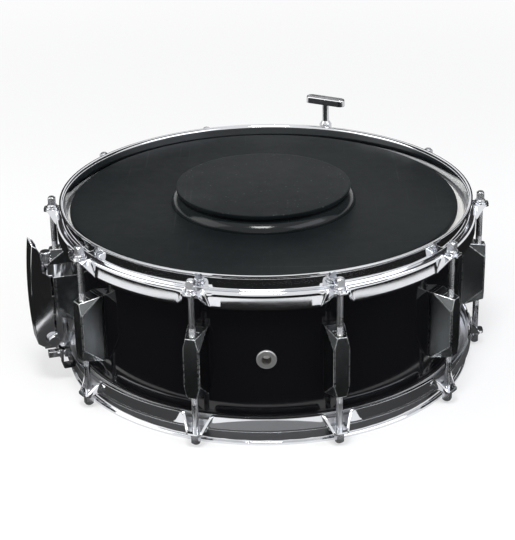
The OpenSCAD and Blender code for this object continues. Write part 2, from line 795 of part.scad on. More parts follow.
// Plate that presses a strap against its jaw, for a clamp whose lower edge is at z.
module clamp_plate(z) {
    x0 = strap_r + strap_t + strap_gap;
    w = clamp_pitch + 7;
    difference() {
        translate([x0, -w / 2, z]) cube([clamp_t, w, clamp_h]);
        for (s = [-1, 1]) translate([0, s * clamp_pitch / 2, z + clamp_h / 2])
            bar_x(x0 - cut, x0 + clamp_t + cut, clamp_screw_r + 0.3);
    }
}

// Two key-headed screws of a clamp whose lower edge is at z.
module clamp_screws(z, grip) {
    x0 = strap_r + strap_t + strap_gap + clamp_t;
    head = key_square;
    for (s = [-1, 1]) translate([0, s * clamp_pitch / 2, z + clamp_h / 2]) {
        bar_x(x0 - clamp_t - grip, x0 + cut, clamp_screw_r);
        bar_x(x0, x0 + 2, 3.9);
        translate([x0 + 2 - 0.1, 0, 0]) intersection() {
            translate([0, -head / 2, -head / 2]) cube([key_h + 0.1, head, head]);
            bar_x(-1, key_h + 0.1, head * 0.62);
        }
    }
}

module throw_clamp_plate() {
    color(CHROME) at(strainer_a) clamp_plate(throw_clamp_z);
}

module throw_clamp_screws() {
    color(CHROME) at(strainer_a) clamp_screws(throw_clamp_z, strap_r - carriage_r - 1);
}

// ---------------------------------------------------------------- butt plate

module butt_body() {
    w = clamp_pitch + 9;
    x1 = strap_r - strap_gap;
    color(CHROME) at(butt_a) difference() {
        intersection() {
            translate([shell_ri, -w / 2, butt_z]) cube([x1 - shell_ri, w, butt_h]);
            slab_y(w + cut) union() {
                translate([shell_ri, butt_z]) square([x1 - shell_ri, clamp_h + 6]);
                translate([shell_ri, butt_z]) square([x1 - shell_ri - 7, butt_h]);
                intersection() {
                    translate([x1 - 7, butt_z + clamp_h + 6]) circle(7);
                    translate([x1 - 8, butt_z]) square([8, butt_h]);
                }
            }
        }
        cylinder(h = 2 * drum_h, r = shell_r + seat_gap, $fn = 180);
        for (z = butt_screw_z) translate([0, 0, z])
            bar_x(shell_ri, shell_r + screw_grip, screw_r + thread_clear);
        for (s = [-1, 1]) translate([0, s * clamp_pitch / 2, butt_clamp_z])
            bar_x(shell_r + 6, strap_r, clamp_screw_r + thread_clear);
    }
}

module butt_clamp_plate() {
    color(CHROME) at(butt_a) clamp_plate(butt_clamp_z - clamp_h / 2);
}

module butt_clamp_screws() {
    color(CHROME) at(butt_a) clamp_screws(butt_clamp_z - clamp_h / 2, 8);
}

// ---------------------------------------------------------------- snares

module snare_wires() {
    color(STEEL) at(strainer_a) for (i = [0 : wire_n - 1])
        translate([0, (i - (wire_n - 1) / 2) * wire_pitch, wire_z])
            bar_x(-wire_len / 2, wire_len / 2, wire_d / 2);
}

// Brass plates under the wires' ends, with a raised tail for the strap.
module snare_end_plates() {
    lap = 5;
    color(CHROME) at(strainer_a) for (s = [-1, 1]) mirror([s > 0 ? 0 : 1, 0, 0]) {
        translate([wire_len / 2 - lap, -plate_w / 2, plate_z])
            cube([end_plate_len, plate_w, end_plate_t]);
        translate([wire_len / 2 + 0.2, -plate_w / 2, plate_z])
            cube([end_plate_len - lap - 0.2, plate_w, strap_z - slide_gap - plate_z]);
    }
}

// Strap from the end plate through the gate and up to a clamp that ends at height z.
module strap(z) {
    turn = 1.5;
    start = wire_len / 2 + 1;
    color(BLACK) {
        translate([start, -strap_w / 2, strap_z]) cube([strap_r + strap_t - turn - start, strap_w, strap_t]);
        translate([strap_r + strap_t - turn, 0, strap_z + turn]) slab_y(strap_w) bend(turn - strap_t, turn, 1, -1);
        translate([strap_r, -strap_w / 2, strap_z + turn]) cube([strap_t, strap_w, z - strap_z - turn]);
    }
}

module throw_strap() {
    at(strainer_a) strap(throw_clamp_z + clamp_h + 1);
}

module butt_strap() {
    at(butt_a) strap(butt_clamp_z + clamp_h / 2 + 1);
}

// ---------------------------------------------------------------- pad and key

// Flat rubber mute lying on the batter head.
module practice_pad() {
    pad_r = collar_ri - pad_shift - pad_gap;
    color(RUBBER) at(pad_a) translate([pad_shift, 0, pad_z]) rotate_extrude($fn = 180)
        difference() {
            square([pad_r, pad_t]);
            translate([pad_r, pad_t]) circle(1.2, $fn = 32);
        }
}

// Raised disc on the mute: a rounded foot, a groove and a flat striking lid.
module pad_disc() {
    neck_r = disc_r - groove_in;
    color(RUBBER) at(pad_a) translate([pad_shift, 0, pad_z + pad_t]) rotate_extrude($fn = 180) {
        square([neck_r, disc_h]);
        translate([neck_r, foot_bulge_r]) circle(foot_bulge_r);
        translate([0, 2 * foot_bulge_r + groove_h])
            square([disc_r, disc_h - 2 * foot_bulge_r - groove_h]);
    }
}

// T-handled key standing on a rod's square end.
module drum_key() {
    top = drum_key_h - handle_t;
    sq = key_square + 2 * socket_clear;
    color(CHROME) at(lug_angle(key_rod)) translate([rod_circle, 0, key_z + 0.3]) difference() {
        union() {
            cylinder(h = key_h + 2, r = socket_r);
            translate([0, 0, key_h + 2]) cylinder(h = 4, r1 = socket_r, r2 = stem_r);
            cylinder(h = top + cut, r = stem_r);
            rotate([0, 0, key_turn]) translate([0, 0, top]) linear_extrude(handle_t) {
                square([handle_len - handle_w, handle_w], center = true);
                for (s = [-1, 1]) translate([s * (handle_len - handle_w) / 2, 0]) circle(handle_w / 2);
            }
        }
        translate([-sq / 2, -sq / 2, -cut]) cube([sq, sq, key_h + 0.6 + cut]);
    }
}

// ---------------------------------------------------------------- parts

shell();
vent_grommet();
batter_hoop();
snare_hoop();
batter_head();
snare_head();
batter_flesh_hoop();
snare_flesh_hoop();
swivel_nuts();
mounting_screws();
batter_washers();
snare_washers();
strainer_frame();
strainer_lever();
lever_pin();
lift_block();
strap_carriage();
tension_knob();
throw_clamp_plate();
throw_clamp_screws();
butt_body();
butt_clamp_plate();
butt_clamp_screws();
snare_wires();
snare_end_plates();
throw_strap();
butt_strap();
practice_pad();
pad_disc();
drum_key();
for (i = [1 : LUGS]) color(DARK) at(lug_angle(i)) lug();
for (i = [1 : LUGS]) batter_rod(i);
for (i = [1 : LUGS]) snare_rod(i);
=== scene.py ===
"""Looks of a shallow snare drum, dressed over its fixed construction model.

The drum carries a rubber practice pad on its upper head and a key on one tension rod. Each sub-assembly is a
class that holds its sizes and builds and dresses its pieces. All lengths are in metres.
"""

from __future__ import annotations

import json
import logging
import math
from dataclasses import dataclass, field, replace
from enum import Enum
from typing import Callable, Sequence

import bmesh
import bpy
from mathutils import Matrix, Vector

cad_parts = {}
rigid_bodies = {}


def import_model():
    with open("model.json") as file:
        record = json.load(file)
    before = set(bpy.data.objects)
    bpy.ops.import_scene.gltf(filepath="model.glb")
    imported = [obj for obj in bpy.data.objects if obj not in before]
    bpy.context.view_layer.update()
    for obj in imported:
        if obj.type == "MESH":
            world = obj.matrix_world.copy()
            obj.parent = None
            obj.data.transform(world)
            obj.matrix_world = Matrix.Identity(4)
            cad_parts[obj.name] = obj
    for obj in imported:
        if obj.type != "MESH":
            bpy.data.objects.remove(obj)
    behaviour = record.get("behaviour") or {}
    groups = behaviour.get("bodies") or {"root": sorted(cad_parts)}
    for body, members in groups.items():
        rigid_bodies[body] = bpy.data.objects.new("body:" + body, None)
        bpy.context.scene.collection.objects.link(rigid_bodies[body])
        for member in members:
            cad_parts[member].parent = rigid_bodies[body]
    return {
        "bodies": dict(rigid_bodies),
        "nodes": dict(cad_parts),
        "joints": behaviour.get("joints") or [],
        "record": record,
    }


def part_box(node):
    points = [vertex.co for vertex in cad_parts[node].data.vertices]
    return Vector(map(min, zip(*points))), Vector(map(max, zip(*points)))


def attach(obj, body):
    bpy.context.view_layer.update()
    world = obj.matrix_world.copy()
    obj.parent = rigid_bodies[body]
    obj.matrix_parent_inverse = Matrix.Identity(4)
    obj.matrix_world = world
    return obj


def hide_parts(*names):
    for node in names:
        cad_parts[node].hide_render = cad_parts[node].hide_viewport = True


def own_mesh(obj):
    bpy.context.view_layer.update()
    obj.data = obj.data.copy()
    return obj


LOG = logging.getLogger("snare_drum")
# Mask of the rounded edges, whose lighter colour is partly rubbing and partly a painted edge highlight.
ROUNDED_EDGE_MASK = "rounded_edge_mask"
DRUM_HEIGHT = 0.1544
STRAP_ANGLES = (-72.0, 108.0)
FLAT_WEIGHT = 70
Colour = tuple[float, float, float]
Pair = tuple[float, float]


# ------------------------------------------------------------------ node tools


class NodeTree:
    """Short calls for building one shader node tree."""

    def __init__(self, tree: bpy.types.NodeTree) -> None:
        """Starts from an emptied tree.

        Args:
            tree: The node tree to fill.
        """
        self.tree = tree
        tree.nodes.clear()

    def add(self, kind: str, **settings: object) -> bpy.types.Node:
        """Adds a node and sets its properties.

        Args:
            kind: The node's type name.
            **settings: Properties of the node itself.

        Returns:
            The new node.
        """
        node = self.tree.nodes.new(kind)
        for key, value in settings.items():
            setattr(node, key, value)
        return node

    def link(self, source: bpy.types.NodeSocket, target: bpy.types.NodeSocket) -> None:
        """Joins an output socket to an input socket."""
        self.tree.links.new(source, target)

    def fill(self, socket: bpy.types.NodeSocket, value: object) -> None:
        """Sets an input socket from another socket or a plain value.

        Args:
            socket: The input to set.
            value: A socket to link, or a number, colour or vector.
        """
        if isinstance(value, bpy.types.NodeSocket):
            self.link(value, socket)
        else:
            socket.default_value = value

    def feed(self, node: bpy.types.Node, name: str, value: object) -> None:
        """Sets a node's input, by name, from a socket or a plain value."""
        self.fill(node.inputs[name], value)

    def math(self, operation: str, a: object, b: object = 0.0) -> bpy.types.NodeSocket:
        """Adds a Math node.

        Args:
            operation: The node's operation.
            a: First value or socket.
            b: Second value or socket.

        Returns:
            The result's socket.
        """
        node = self.add("ShaderNodeMath", operation=operation)
        for slot, value in zip(node.inputs, (a, b)):
            self.fill(slot, value)
        return node.outputs[0]

    def times(self, a: object, b: object) -> bpy.types.NodeSocket:
        """The product of two values or sockets."""
        return self.math("MULTIPLY", a, b)

    def plus(self, a: object, b: object) -> bpy.types.NodeSocket:
        """The sum of two values or sockets."""
        return self.math("ADD", a, b)

    def mix(self, factor: object, a: object, b: object) -> bpy.types.NodeSocket:
        """Mixes two colours.

        Args:
            factor: Share of the second colour.
            a: First colour or socket.
            b: Second colour or socket.

        Returns:
            The mixed colour's socket.
        """
        node = self.add("ShaderNodeMix", data_type="RGBA")
        factor_slot, first_slot, second_slot, result = 0, 6, 7, 2
        self.fill(node.inputs[factor_slot], factor)
        for index, colour in ((first_slot, a), (second_slot, b)):
            self.fill(node.inputs[index], colour if isinstance(colour, bpy.types.NodeSocket) else (*colour, 1.0))
        return node.outputs[result]

    def spread(self, value: bpy.types.NodeSocket, low: object, high: object, start: float = 0.0,
               end: float = 1.0) -> bpy.types.NodeSocket:
        """Maps a value from start..end to low..high.

        Args:
            value: The socket to map.
            low: Result at start.
            high: Result at end.
            start: Value that gives low.
            end: Value that gives high.

        Returns:
            The mapped value's socket.
        """
        node = self.add("ShaderNodeMapRange", clamp=True)
        self.feed(node, "Value", value)
        for name, number in (("From Min", start), ("From Max", end), ("To Min", low), ("To Max", high)):
            self.feed(node, name, number)
        return node.outputs["Result"]

    def noise(self, vector: bpy.types.NodeSocket, scale: object, detail: float = 3.0,
              roughness: float = 0.55) -> bpy.types.NodeSocket:
        """Adds a noise texture.

        Args:
            vector: Where the noise is read.
            scale: Its scale, in cycles a metre.
            detail: Number of octaves.
            roughness: Strength of the finer octaves.

        Returns:
            The noise value's socket.
        """
        node = self.add("ShaderNodeTexNoise")
        for name, value in (("Vector", vector), ("Scale", scale), ("Detail", detail), ("Roughness", roughness)):
            self.feed(node, name, value)
        return node.outputs["Fac"]

    def levels(self, vector: bpy.types.NodeSocket) -> dict[str, bpy.types.NodeSocket]:
        """Splits a vector.

        Args:
            vector: The vector's socket.

        Returns:
            The sockets of its parts, by axis letter.
        """
        node = self.add("ShaderNodeSeparateXYZ")
        self.link(vector, node.inputs[0])
        return {axis: node.outputs[axis] for axis in "XYZ"}

    def mapped(self, vector: bpy.types.NodeSocket, stretch: Sequence[float],
               turn: Sequence[float] = (0.0, 0.0, 0.0)) -> bpy.types.NodeSocket:
        """Stretches and turns the place a pattern is read at.

        Args:
            vector: The place's socket.
            stretch: Scale along each axis.
            turn: Turn about each axis, in radians.

        Returns:
            The new place's socket.
        """
        node = self.add("ShaderNodeMapping")
        for name, value in (("Vector", vector), ("Rotation", turn), ("Scale", stretch)):
            self.feed(node, name, value)
        return node.outputs["Vector"]


@dataclass(frozen=True)
class EffectSocket:
    """One input of a shared effect."""

    name: str
    value: float
    low: float = 0.0
    high: float = 10000.0


class Effect(Enum):
    """Surface effects that several finishes share, each a node group that is built once."""

    SMUDGE = "Smudge"
    GRAIN = "Grain"
    SCRATCH = "Scratch"
    DUST = "Dust"
    EDGE_WEAR_AND_HIGHLIGHT = "Rubbed and highlighted edges"


class EffectLibrary:
    """Builds each shared effect once and places it in materials."""

    SOCKETS: dict[Effect, tuple[EffectSocket, ...]] = {
        Effect.SMUDGE: (EffectSocket("Scale", 12.0), EffectSocket("Low", 0.05, high=1),
                        EffectSocket("High", 0.1, high=1)),
        Effect.GRAIN: (EffectSocket("Scale", 900.0), EffectSocket("Coarse", 0.3, high=1)),
        Effect.SCRATCH: (EffectSocket("Scale", 40.0), EffectSocket("Amount", 0.3, high=1)),
        Effect.DUST: (EffectSocket("Scale", 300.0), EffectSocket("Amount", 0.1, high=1)),
        Effect.EDGE_WEAR_AND_HIGHLIGHT: (EffectSocket("Mask", 0.0, high=1), EffectSocket("Scale", 500.0),
                           EffectSocket("Amount", 0.7, high=1)),
    }

    def __init__(self) -> None:
        """Starts with no effect built."""
        self._built: dict[Effect, bpy.types.NodeTree] = {}

    def place(self, nodes: NodeTree, effect: Effect, vector: bpy.types.NodeSocket,
              **values: object) -> bpy.types.NodeSocket:
        """Places an effect in a material.

        Args:
            nodes: The material's tree.
            effect: The effect wanted.
            vector: Position that the pattern is read at.
            **values: Values or sockets of its inputs, by lower-case name.

        Returns:
            The effect's output socket.
        """
        node = nodes.add("ShaderNodeGroup", node_tree=self._group(effect))
        nodes.link(vector, node.inputs["Vector"])
        for socket in self.SOCKETS[effect]:
            nodes.feed(node, socket.name, values.get(socket.name.lower(), socket.value))
        return node.outputs["Value"]

    def _group(self, effect: Effect) -> bpy.types.NodeTree:
        """Finds an effect's node group, or builds it on its first use.

        Args:
            effect: The effect wanted.

        Returns:
            The node group.
        """
        if effect not in self._built:
            tree = bpy.data.node_groups.new(effect.value, "ShaderNodeTree")
            tree.interface.new_socket("Vector", in_out="INPUT", socket_type="NodeSocketVector")
            for socket in self.SOCKETS[effect]:
                made = tree.interface.new_socket(socket.name, in_out="INPUT", socket_type="NodeSocketFloat")
                made.default_value, made.min_value, made.max_value = socket.value, socket.low, socket.high
            tree.interface.new_socket("Value", in_out="OUTPUT", socket_type="NodeSocketFloat")
            nodes = NodeTree(tree)
            given = nodes.add("NodeGroupInput").outputs
            makers: dict[Effect, Callable[[NodeTree, bpy.types.NodeOutputs], bpy.types.NodeSocket]] = {
                Effect.SMUDGE: self._smudge,
                Effect.GRAIN: self._grain,
                Effect.SCRATCH: self._scratch,
                Effect.DUST: self._dust,
                Effect.EDGE_WEAR_AND_HIGHLIGHT: self._edge_wear_and_highlight,
            }
            nodes.link(makers[effect](nodes, given), nodes.add("NodeGroupOutput").inputs["Value"])
            self._built[effect] = tree
        return self._built[effect]

    @staticmethod
    def _smudge(nodes: NodeTree, given: bpy.types.NodeOutputs) -> bpy.types.NodeSocket:
        """Soft handling marks: a roughness that wanders between Low and High.

        Args:
            nodes: The group's tree.
            given: The group's inputs.

        Returns:
            The result's socket.
        """
        finer, wide_share = 9.0, 0.75
        wide = nodes.noise(given["Vector"], given["Scale"], detail=4.0)
        fine = nodes.noise(given["Vector"], nodes.times(given["Scale"], finer), detail=2.0)
        both = nodes.plus(nodes.times(wide, wide_share), nodes.times(fine, 1.0 - wide_share))
        return nodes.spread(both, given["Low"], given["High"], start=0.38, end=0.62)

    @staticmethod
    def _grain(nodes: NodeTree, given: bpy.types.NodeOutputs) -> bpy.types.NodeSocket:
        """Fine pebbled height with a share of coarser swell.

        Args:
            nodes: The group's tree.
            given: The group's inputs.

        Returns:
            The result's socket.
        """
        coarser = 0.14
        fine = nodes.noise(given["Vector"], given["Scale"], detail=2.0)
        coarse = nodes.noise(given["Vector"], nodes.times(given["Scale"], coarser), detail=2.0)
        part = nodes.times(coarse, given["Coarse"])
        rest = nodes.times(fine, nodes.math("SUBTRACT", 1.0, given["Coarse"]))
        return nodes.plus(part, rest)

    @staticmethod
    def _scratch(nodes: NodeTree, given: bpy.types.NodeOutputs) -> bpy.types.NodeSocket:
        """Mask of long hair-fine scuffs in two directions.

        Args:
            nodes: The group's tree.
            given: The group's inputs.

        Returns:
            The result's socket.
        """
        masks = []
        for turn, stretch in (((0.3, 0.2, 0.5), (1.0, 60.0, 9.0)), ((0.5, 1.1, 2.2), (60.0, 1.0, 11.0))):
            value = nodes.noise(nodes.mapped(given["Vector"], stretch, turn), given["Scale"], detail=0.0)
            masks.append(nodes.spread(value, low=0.0, high=1.0, start=0.74, end=0.8))
        lines = nodes.math("MAXIMUM", *masks)
        patch = nodes.noise(given["Vector"], scale=18.0, detail=2.0)
        patch = nodes.spread(patch, low=0.15, high=1.0, start=0.45, end=0.7)
        return nodes.times(nodes.times(lines, patch), given["Amount"])

    @staticmethod
    def _dust(nodes: NodeTree, given: bpy.types.NodeOutputs) -> bpy.types.NodeSocket:
        """Mask of specks and thin haze on faces that look up.

        Args:
            nodes: The group's tree.
            given: The group's inputs.

        Returns:
            The result's socket.
        """
        facing = nodes.levels(nodes.add("ShaderNodeNewGeometry").outputs["Normal"])
        up = nodes.spread(facing["Z"], low=0.0, high=1.0, start=0.2, end=0.9)
        specks = nodes.noise(given["Vector"], given["Scale"], detail=0.0)
        specks = nodes.spread(specks, low=0.0, high=1.0, start=0.8, end=0.84)
        haze = nodes.noise(given["Vector"], scale=9.0, detail=3.0)
        haze = nodes.spread(haze, low=0.0, high=0.2, start=0.45, end=0.8)
        both = nodes.math("MAXIMUM", specks, haze)
        return nodes.times(nodes.times(both, up), given["Amount"])

    @staticmethod
    def _edge_wear_and_highlight(nodes: NodeTree, given: bpy.types.NodeOutputs) -> bpy.types.NodeSocket:
        """Mask of edges lightened in colour, partly rubbed bright and partly painted edge highlights, broken up along
        their length.

        Args:
            nodes: The group's tree.
            given: The group's inputs.

        Returns:
            The result's socket.
        """
        patch = nodes.noise(given["Vector"], given["Scale"], detail=2.0)
        patch = nodes.spread(patch, low=0.35, high=1.0, start=0.35, end=0.6)
        return nodes.times(nodes.times(given["Mask"], patch), given["Amount"])


# ------------------------------------------------------------------ finishes


@dataclass(frozen=True)
class Finish:
    """What every finish has: a name, and a way to its material."""

    title: str

    def material(self, effects: EffectLibrary) -> bpy.types.Material:
        """Builds the finish's material.

        Args:
            effects: The shared effects.

        Returns:
            The new material.
        """
        made = bpy.data.materials.new(self.title)
        made.use_nodes = True
        nodes = NodeTree(made.node_tree)
        shader = nodes.add("ShaderNodeBsdfPrincipled")
        place = nodes.add("ShaderNodeTexCoord").outputs["Object"]
        nodes.link(shader.outputs[0], nodes.add("ShaderNodeOutputMaterial").inputs["Surface"])
        self.dress(nodes, shader, place, effects)
        return made

    def dress(self, nodes: NodeTree, shader: bpy.types.Node, place: bpy.types.NodeSocket,
              effects: EffectLibrary) -> None:
        """Sets the shader's inputs; each finish has its own.

        Args:
            nodes: The material's tree.
            shader: Its Principled shader.
            place: Socket of the place on the piece.
            effects: The shared effects.
        """
        raise NotImplementedError

    @staticmethod
    def bump(nodes: NodeTree, shader: bpy.types.Node, height: bpy.types.NodeSocket, strength: float,
             distance: float) -> None:
        """Feeds a height through a Bump node to the shader.

        Args:
            nodes: The material's tree.
            shader: The Principled shader.
            height: The height's socket.
            strength: Strength of the bump.
            distance: Depth in metres that a height of 1 stands for.
        """
        node = nodes.add("ShaderNodeBump")
        for name, value in (("Strength", strength), ("Distance", distance), ("Height", height)):
            nodes.feed(node, name, value)
        nodes.link(node.outputs["Normal"], shader.inputs["Normal"])


@dataclass(frozen=True)
class PlatedMetal(Finish):
    """Polished or satin plating with handling marks, faint scuffs and lighter rounded edges, partly rubbed bright and
    partly painted edge highlights, strongest on the lugs.
    """

    colour: Colour = (0.78, 0.79, 0.81)
    tint: Colour = (0.70, 0.71, 0.73)
    rough: Pair = (0.05, 0.1)
    smudge_scale: float = 14.0
    ripple: float = 0.00002
    ripple_scale: float = 160.0
    scuff: float = 0.25
    edge_wear_and_highlight_colour: Colour = (0.9, 0.9, 0.9)
    edge_wear_and_highlight_amount: float = 0.5
    scuff_scale: float = 16.0
    scuff_rough: float = 0.25
    edge_wear_and_highlight_scale: float = 420.0
    edge_wear_and_highlight_rough: float = 0.08
    cloud_share: float = 0.6
    bump_strength: float = 0.6
    thread_pitch: float = 0.0
    thread_from: float = 0.0
    thread_to: float = 0.0
    thread_fade: float = 0.0008
    thread_depth: float = 0.35

    def dress(self, nodes: NodeTree, shader: bpy.types.Node, place: bpy.types.NodeSocket,
              effects: EffectLibrary) -> None:
        """Sets the plating's colour, gloss and relief.

        Args:
            nodes: The material's tree.
            shader: Its Principled shader.
            place: Socket of the place on the piece.
            effects: The shared effects.
        """
        shader.inputs["Metallic"].default_value = 1.0
        low, high = self.rough
        smudge = effects.place(nodes, Effect.SMUDGE, place, scale=self.smudge_scale, low=low, high=high)
        scuffs = effects.place(nodes, Effect.SCRATCH, place, scale=self.scuff_scale, amount=self.scuff)
        edge = nodes.add("ShaderNodeAttribute", attribute_name=ROUNDED_EDGE_MASK).outputs["Fac"]
        edge_wear_and_highlight_mask = effects.place(nodes, Effect.EDGE_WEAR_AND_HIGHLIGHT, place, mask=edge, scale=self.edge_wear_and_highlight_scale, amount=self.edge_wear_and_highlight_amount)
        cloud = nodes.noise(place, self.smudge_scale * self.cloud_share, detail=3.0)
        cloud = nodes.spread(cloud, low=0.0, high=1.0, start=0.35, end=0.7)
        base = nodes.mix(cloud, self.colour, self.tint)
        # The lighter edge colour stands for rubbing and paints highlight lines along the edges.
        nodes.link(nodes.mix(edge_wear_and_highlight_mask, base, self.edge_wear_and_highlight_colour), shader.inputs["Base Color"])
        rough = nodes.plus(smudge, nodes.times(scuffs, self.scuff_rough))
        nodes.link(nodes.plus(rough, nodes.times(edge_wear_and_highlight_mask, self.edge_wear_and_highlight_rough)), shader.inputs["Roughness"])
        height = effects.place(nodes, Effect.GRAIN, place, scale=self.ripple_scale, coarse=0.5)
        depth = self.ripple
        if self.thread_pitch:
            depth = self.thread_depth * self.thread_pitch
            height = nodes.plus(nodes.times(height, self.ripple / depth), self._thread(nodes, place))
        self.bump(nodes, shader, height, self.bump_strength, depth)

    def _thread(self, nodes: NodeTree, place: bpy.types.NodeSocket) -> bpy.types.NodeSocket:
        """Height of the thread's ridges, which fade out at the thread's two ends.

        Args:
            nodes: The material's tree.
            place: Socket of the place on the rod.

        Returns:
            The height's socket, from 0 to 1.
        """
        level = nodes.levels(place)["Z"]
        turn = nodes.times(level, 2 * math.pi / self.thread_pitch)
        ridge = nodes.spread(nodes.math("SINE", turn), low=0.0, high=1.0, start=-1.0, end=1.0)
        middle = 0.5 * (self.thread_from + self.thread_to)
        half = 0.5 * (self.thread_to - self.thread_from)
        away = nodes.math("ABSOLUTE", nodes.math("SUBTRACT", level, middle))
        zone = nodes.spread(away, low=1.0, high=0.0, start=half - self.thread_fade, end=half)
        return nodes.times(ridge, zone)


@dataclass(frozen=True)
class ShellLacquer(Finish):
    """Black gloss lacquer outside and bare maple on the bearing edges and the inside, its colours darkened as painted
    shade so the inside seen through the vent reads dark.
    """

    outer_radius: float = 0.1774
    lacquer: Colour = (0.0045, 0.0045, 0.0055)
    # Both colours of the bare shell are set darker than its own, as painted shade for the drum's inside.
    shaded_maple: Colour = (0.36, 0.22, 0.11)
    shaded_dark_maple: Colour = (0.25, 0.14, 0.065)
    wood_rough: float = 0.55
    polish: Pair = (0.035, 0.085)
    scuff_rough: float = 0.2
    coat_start: float = 0.0006
    coat_end: float = 0.0003
    ripple: float = 0.00004

    def dress(self, nodes: NodeTree, shader: bpy.types.Node, place: bpy.types.NodeSocket,
              effects: EffectLibrary) -> None:
        """Splits the shell by its radius into lacquer and bare wood.

        Args:
            nodes: The material's tree.
            shader: Its Principled shader.
            place: Socket of the place on the piece.
            effects: The shared effects.
        """
        parts = nodes.levels(place)
        radius = nodes.math("SQRT", nodes.plus(*(nodes.times(parts[axis], parts[axis]) for axis in "XY")))
        outside = nodes.spread(radius, low=0.0, high=1.0, start=self.outer_radius - self.coat_start,
                               end=self.outer_radius - self.coat_end)
        grain = nodes.noise(nodes.mapped(place, stretch=(1.0, 1.0, 14.0)), scale=26.0, detail=6.0, roughness=0.65)
        grain = nodes.spread(grain, low=0.0, high=1.0, start=0.35, end=0.65)
        wood = nodes.mix(grain, self.shaded_dark_maple, self.shaded_maple)
        nodes.link(nodes.mix(outside, wood, self.lacquer), shader.inputs["Base Color"])
        low, high = self.polish
        polish = effects.place(nodes, Effect.SMUDGE, place, scale=9.0, low=low, high=high)
        scuffs = effects.place(nodes, Effect.SCRATCH, place, scale=12.0, amount=0.3)
        rough = nodes.add("ShaderNodeMix")
        nodes.feed(rough, "Factor", outside)
        nodes.feed(rough, "A", self.wood_rough)
        nodes.feed(rough, "B", nodes.plus(polish, nodes.times(scuffs, self.scuff_rough)))
        nodes.link(rough.outputs[0], shader.inputs["Roughness"])
        ripple = effects.place(nodes, Effect.GRAIN, place, scale=240.0, coarse=0.6)
        self.bump(nodes, shader, ripple, strength=0.35, distance=self.ripple)


@dataclass(frozen=True)
class PadRubber(Finish):
    """Satin moulded rubber with a fine grain, faint scuffs and light specks of dust."""

    colour: Colour = (0.0065, 0.0086, 0.0094)
    rubbed: Colour = (0.0165, 0.0195, 0.02)
    dust_colour: Colour = (0.24, 0.24, 0.235)
    rough: Pair = (0.42, 0.55)
    dust: float = 0.05
    dust_rough: float = 0.4
    scuff_share: float = 0.2
    sheen: float = 0.05
    grain: float = 0.0001

    def dress(self, nodes: NodeTree, shader: bpy.types.Node, place: bpy.types.NodeSocket,
              effects: EffectLibrary) -> None:
        """Sets the rubber's colour, sheen and grain.

        Args:
            nodes: The material's tree.
            shader: Its Principled shader.
            place: Socket of the place on the piece.
            effects: The shared effects.
        """
        shader.inputs["Specular IOR Level"].default_value = self.sheen
        cloud = nodes.noise(place, scale=5.5, detail=5.0, roughness=0.5)
        cloud = nodes.spread(cloud, low=0.0, high=1.0, start=0.4, end=0.64)
        dust = effects.place(nodes, Effect.DUST, place, scale=520.0, amount=self.dust)
        scuffs = effects.place(nodes, Effect.SCRATCH, place, scale=9.0, amount=0.25)
        base = nodes.mix(cloud, self.colour, self.rubbed)
        base = nodes.mix(nodes.times(scuffs, self.scuff_share), base, self.dust_colour)
        nodes.link(nodes.mix(dust, base, self.dust_colour), shader.inputs["Base Color"])
        low, high = self.rough
        rough = effects.place(nodes, Effect.SMUDGE, place, scale=11.0, low=low, high=high)
        nodes.link(nodes.plus(rough, nodes.times(dust, self.dust_rough)), shader.inputs["Roughness"])
        grain = effects.place(nodes, Effect.GRAIN, place, scale=1400.0, coarse=0.25)
        self.bump(nodes, shader, grain, strength=0.5, distance=self.grain)


@dataclass(frozen=True)
class CoatedFilm(Finish):
    """White sprayed coating with its fine tooth and a few stick smears."""

    colour: Colour = (0.83, 0.83, 0.80)
    smear: Colour = (0.62, 0.62, 0.60)
    tooth: float = 0.00012

    def dress(self, nodes: NodeTree, shader: bpy.types.Node, place: bpy.types.NodeSocket,
              effects: EffectLibrary) -> None:
        """Sets the coating's colour and tooth.

        Args:
            nodes: The material's tree.
            shader: Its Principled shader.
            place: Socket of the place on the piece.
            effects: The shared effects.
        """
        cloud = nodes.spread(nodes.noise(place, scale=22.0, detail=5.0), low=0.0, high=0.5, start=0.45, end=0.75)
        nodes.link(nodes.mix(cloud, self.colour, self.smear), shader.inputs["Base Color"])
        rough = effects.place(nodes, Effect.SMUDGE, place, scale=20.0, low=0.42, high=0.58)
        nodes.link(rough, shader.inputs["Roughness"])
        tooth = effects.place(nodes, Effect.GRAIN, place, scale=2600.0, coarse=0.2)
        self.bump(nodes, shader, tooth, strength=0.7, distance=self.tooth)


@dataclass(frozen=True)
class ClearFilm(Finish):
    """Thin hazy film, with the inside of the drum showing through."""

    colour: Colour = (0.86, 0.88, 0.88)
    ripple: float = 0.0003

    def dress(self, nodes: NodeTree, shader: bpy.types.Node, place: bpy.types.NodeSocket,
              effects: EffectLibrary) -> None:
        """Sets the film's haze as an alpha that clouds a little.

        Args:
            nodes: The material's tree.
            shader: Its Principled shader.
            place: Socket of the place on the piece.
            effects: The shared effects.
        """
        shader.inputs["Base Color"].default_value = (*self.colour, 1.0)
        rough = effects.place(nodes, Effect.SMUDGE, place, scale=8.0, low=0.1, high=0.2)
        nodes.link(rough, shader.inputs["Roughness"])
        haze = effects.place(nodes, Effect.SMUDGE, place, scale=6.0, low=0.3, high=0.42)
        nodes.link(haze, shader.inputs["Alpha"])
        ripple = effects.place(nodes, Effect.GRAIN, place, scale=30.0, coarse=0.5)
        self.bump(nodes, shader, ripple, strength=0.3, distance=self.ripple)


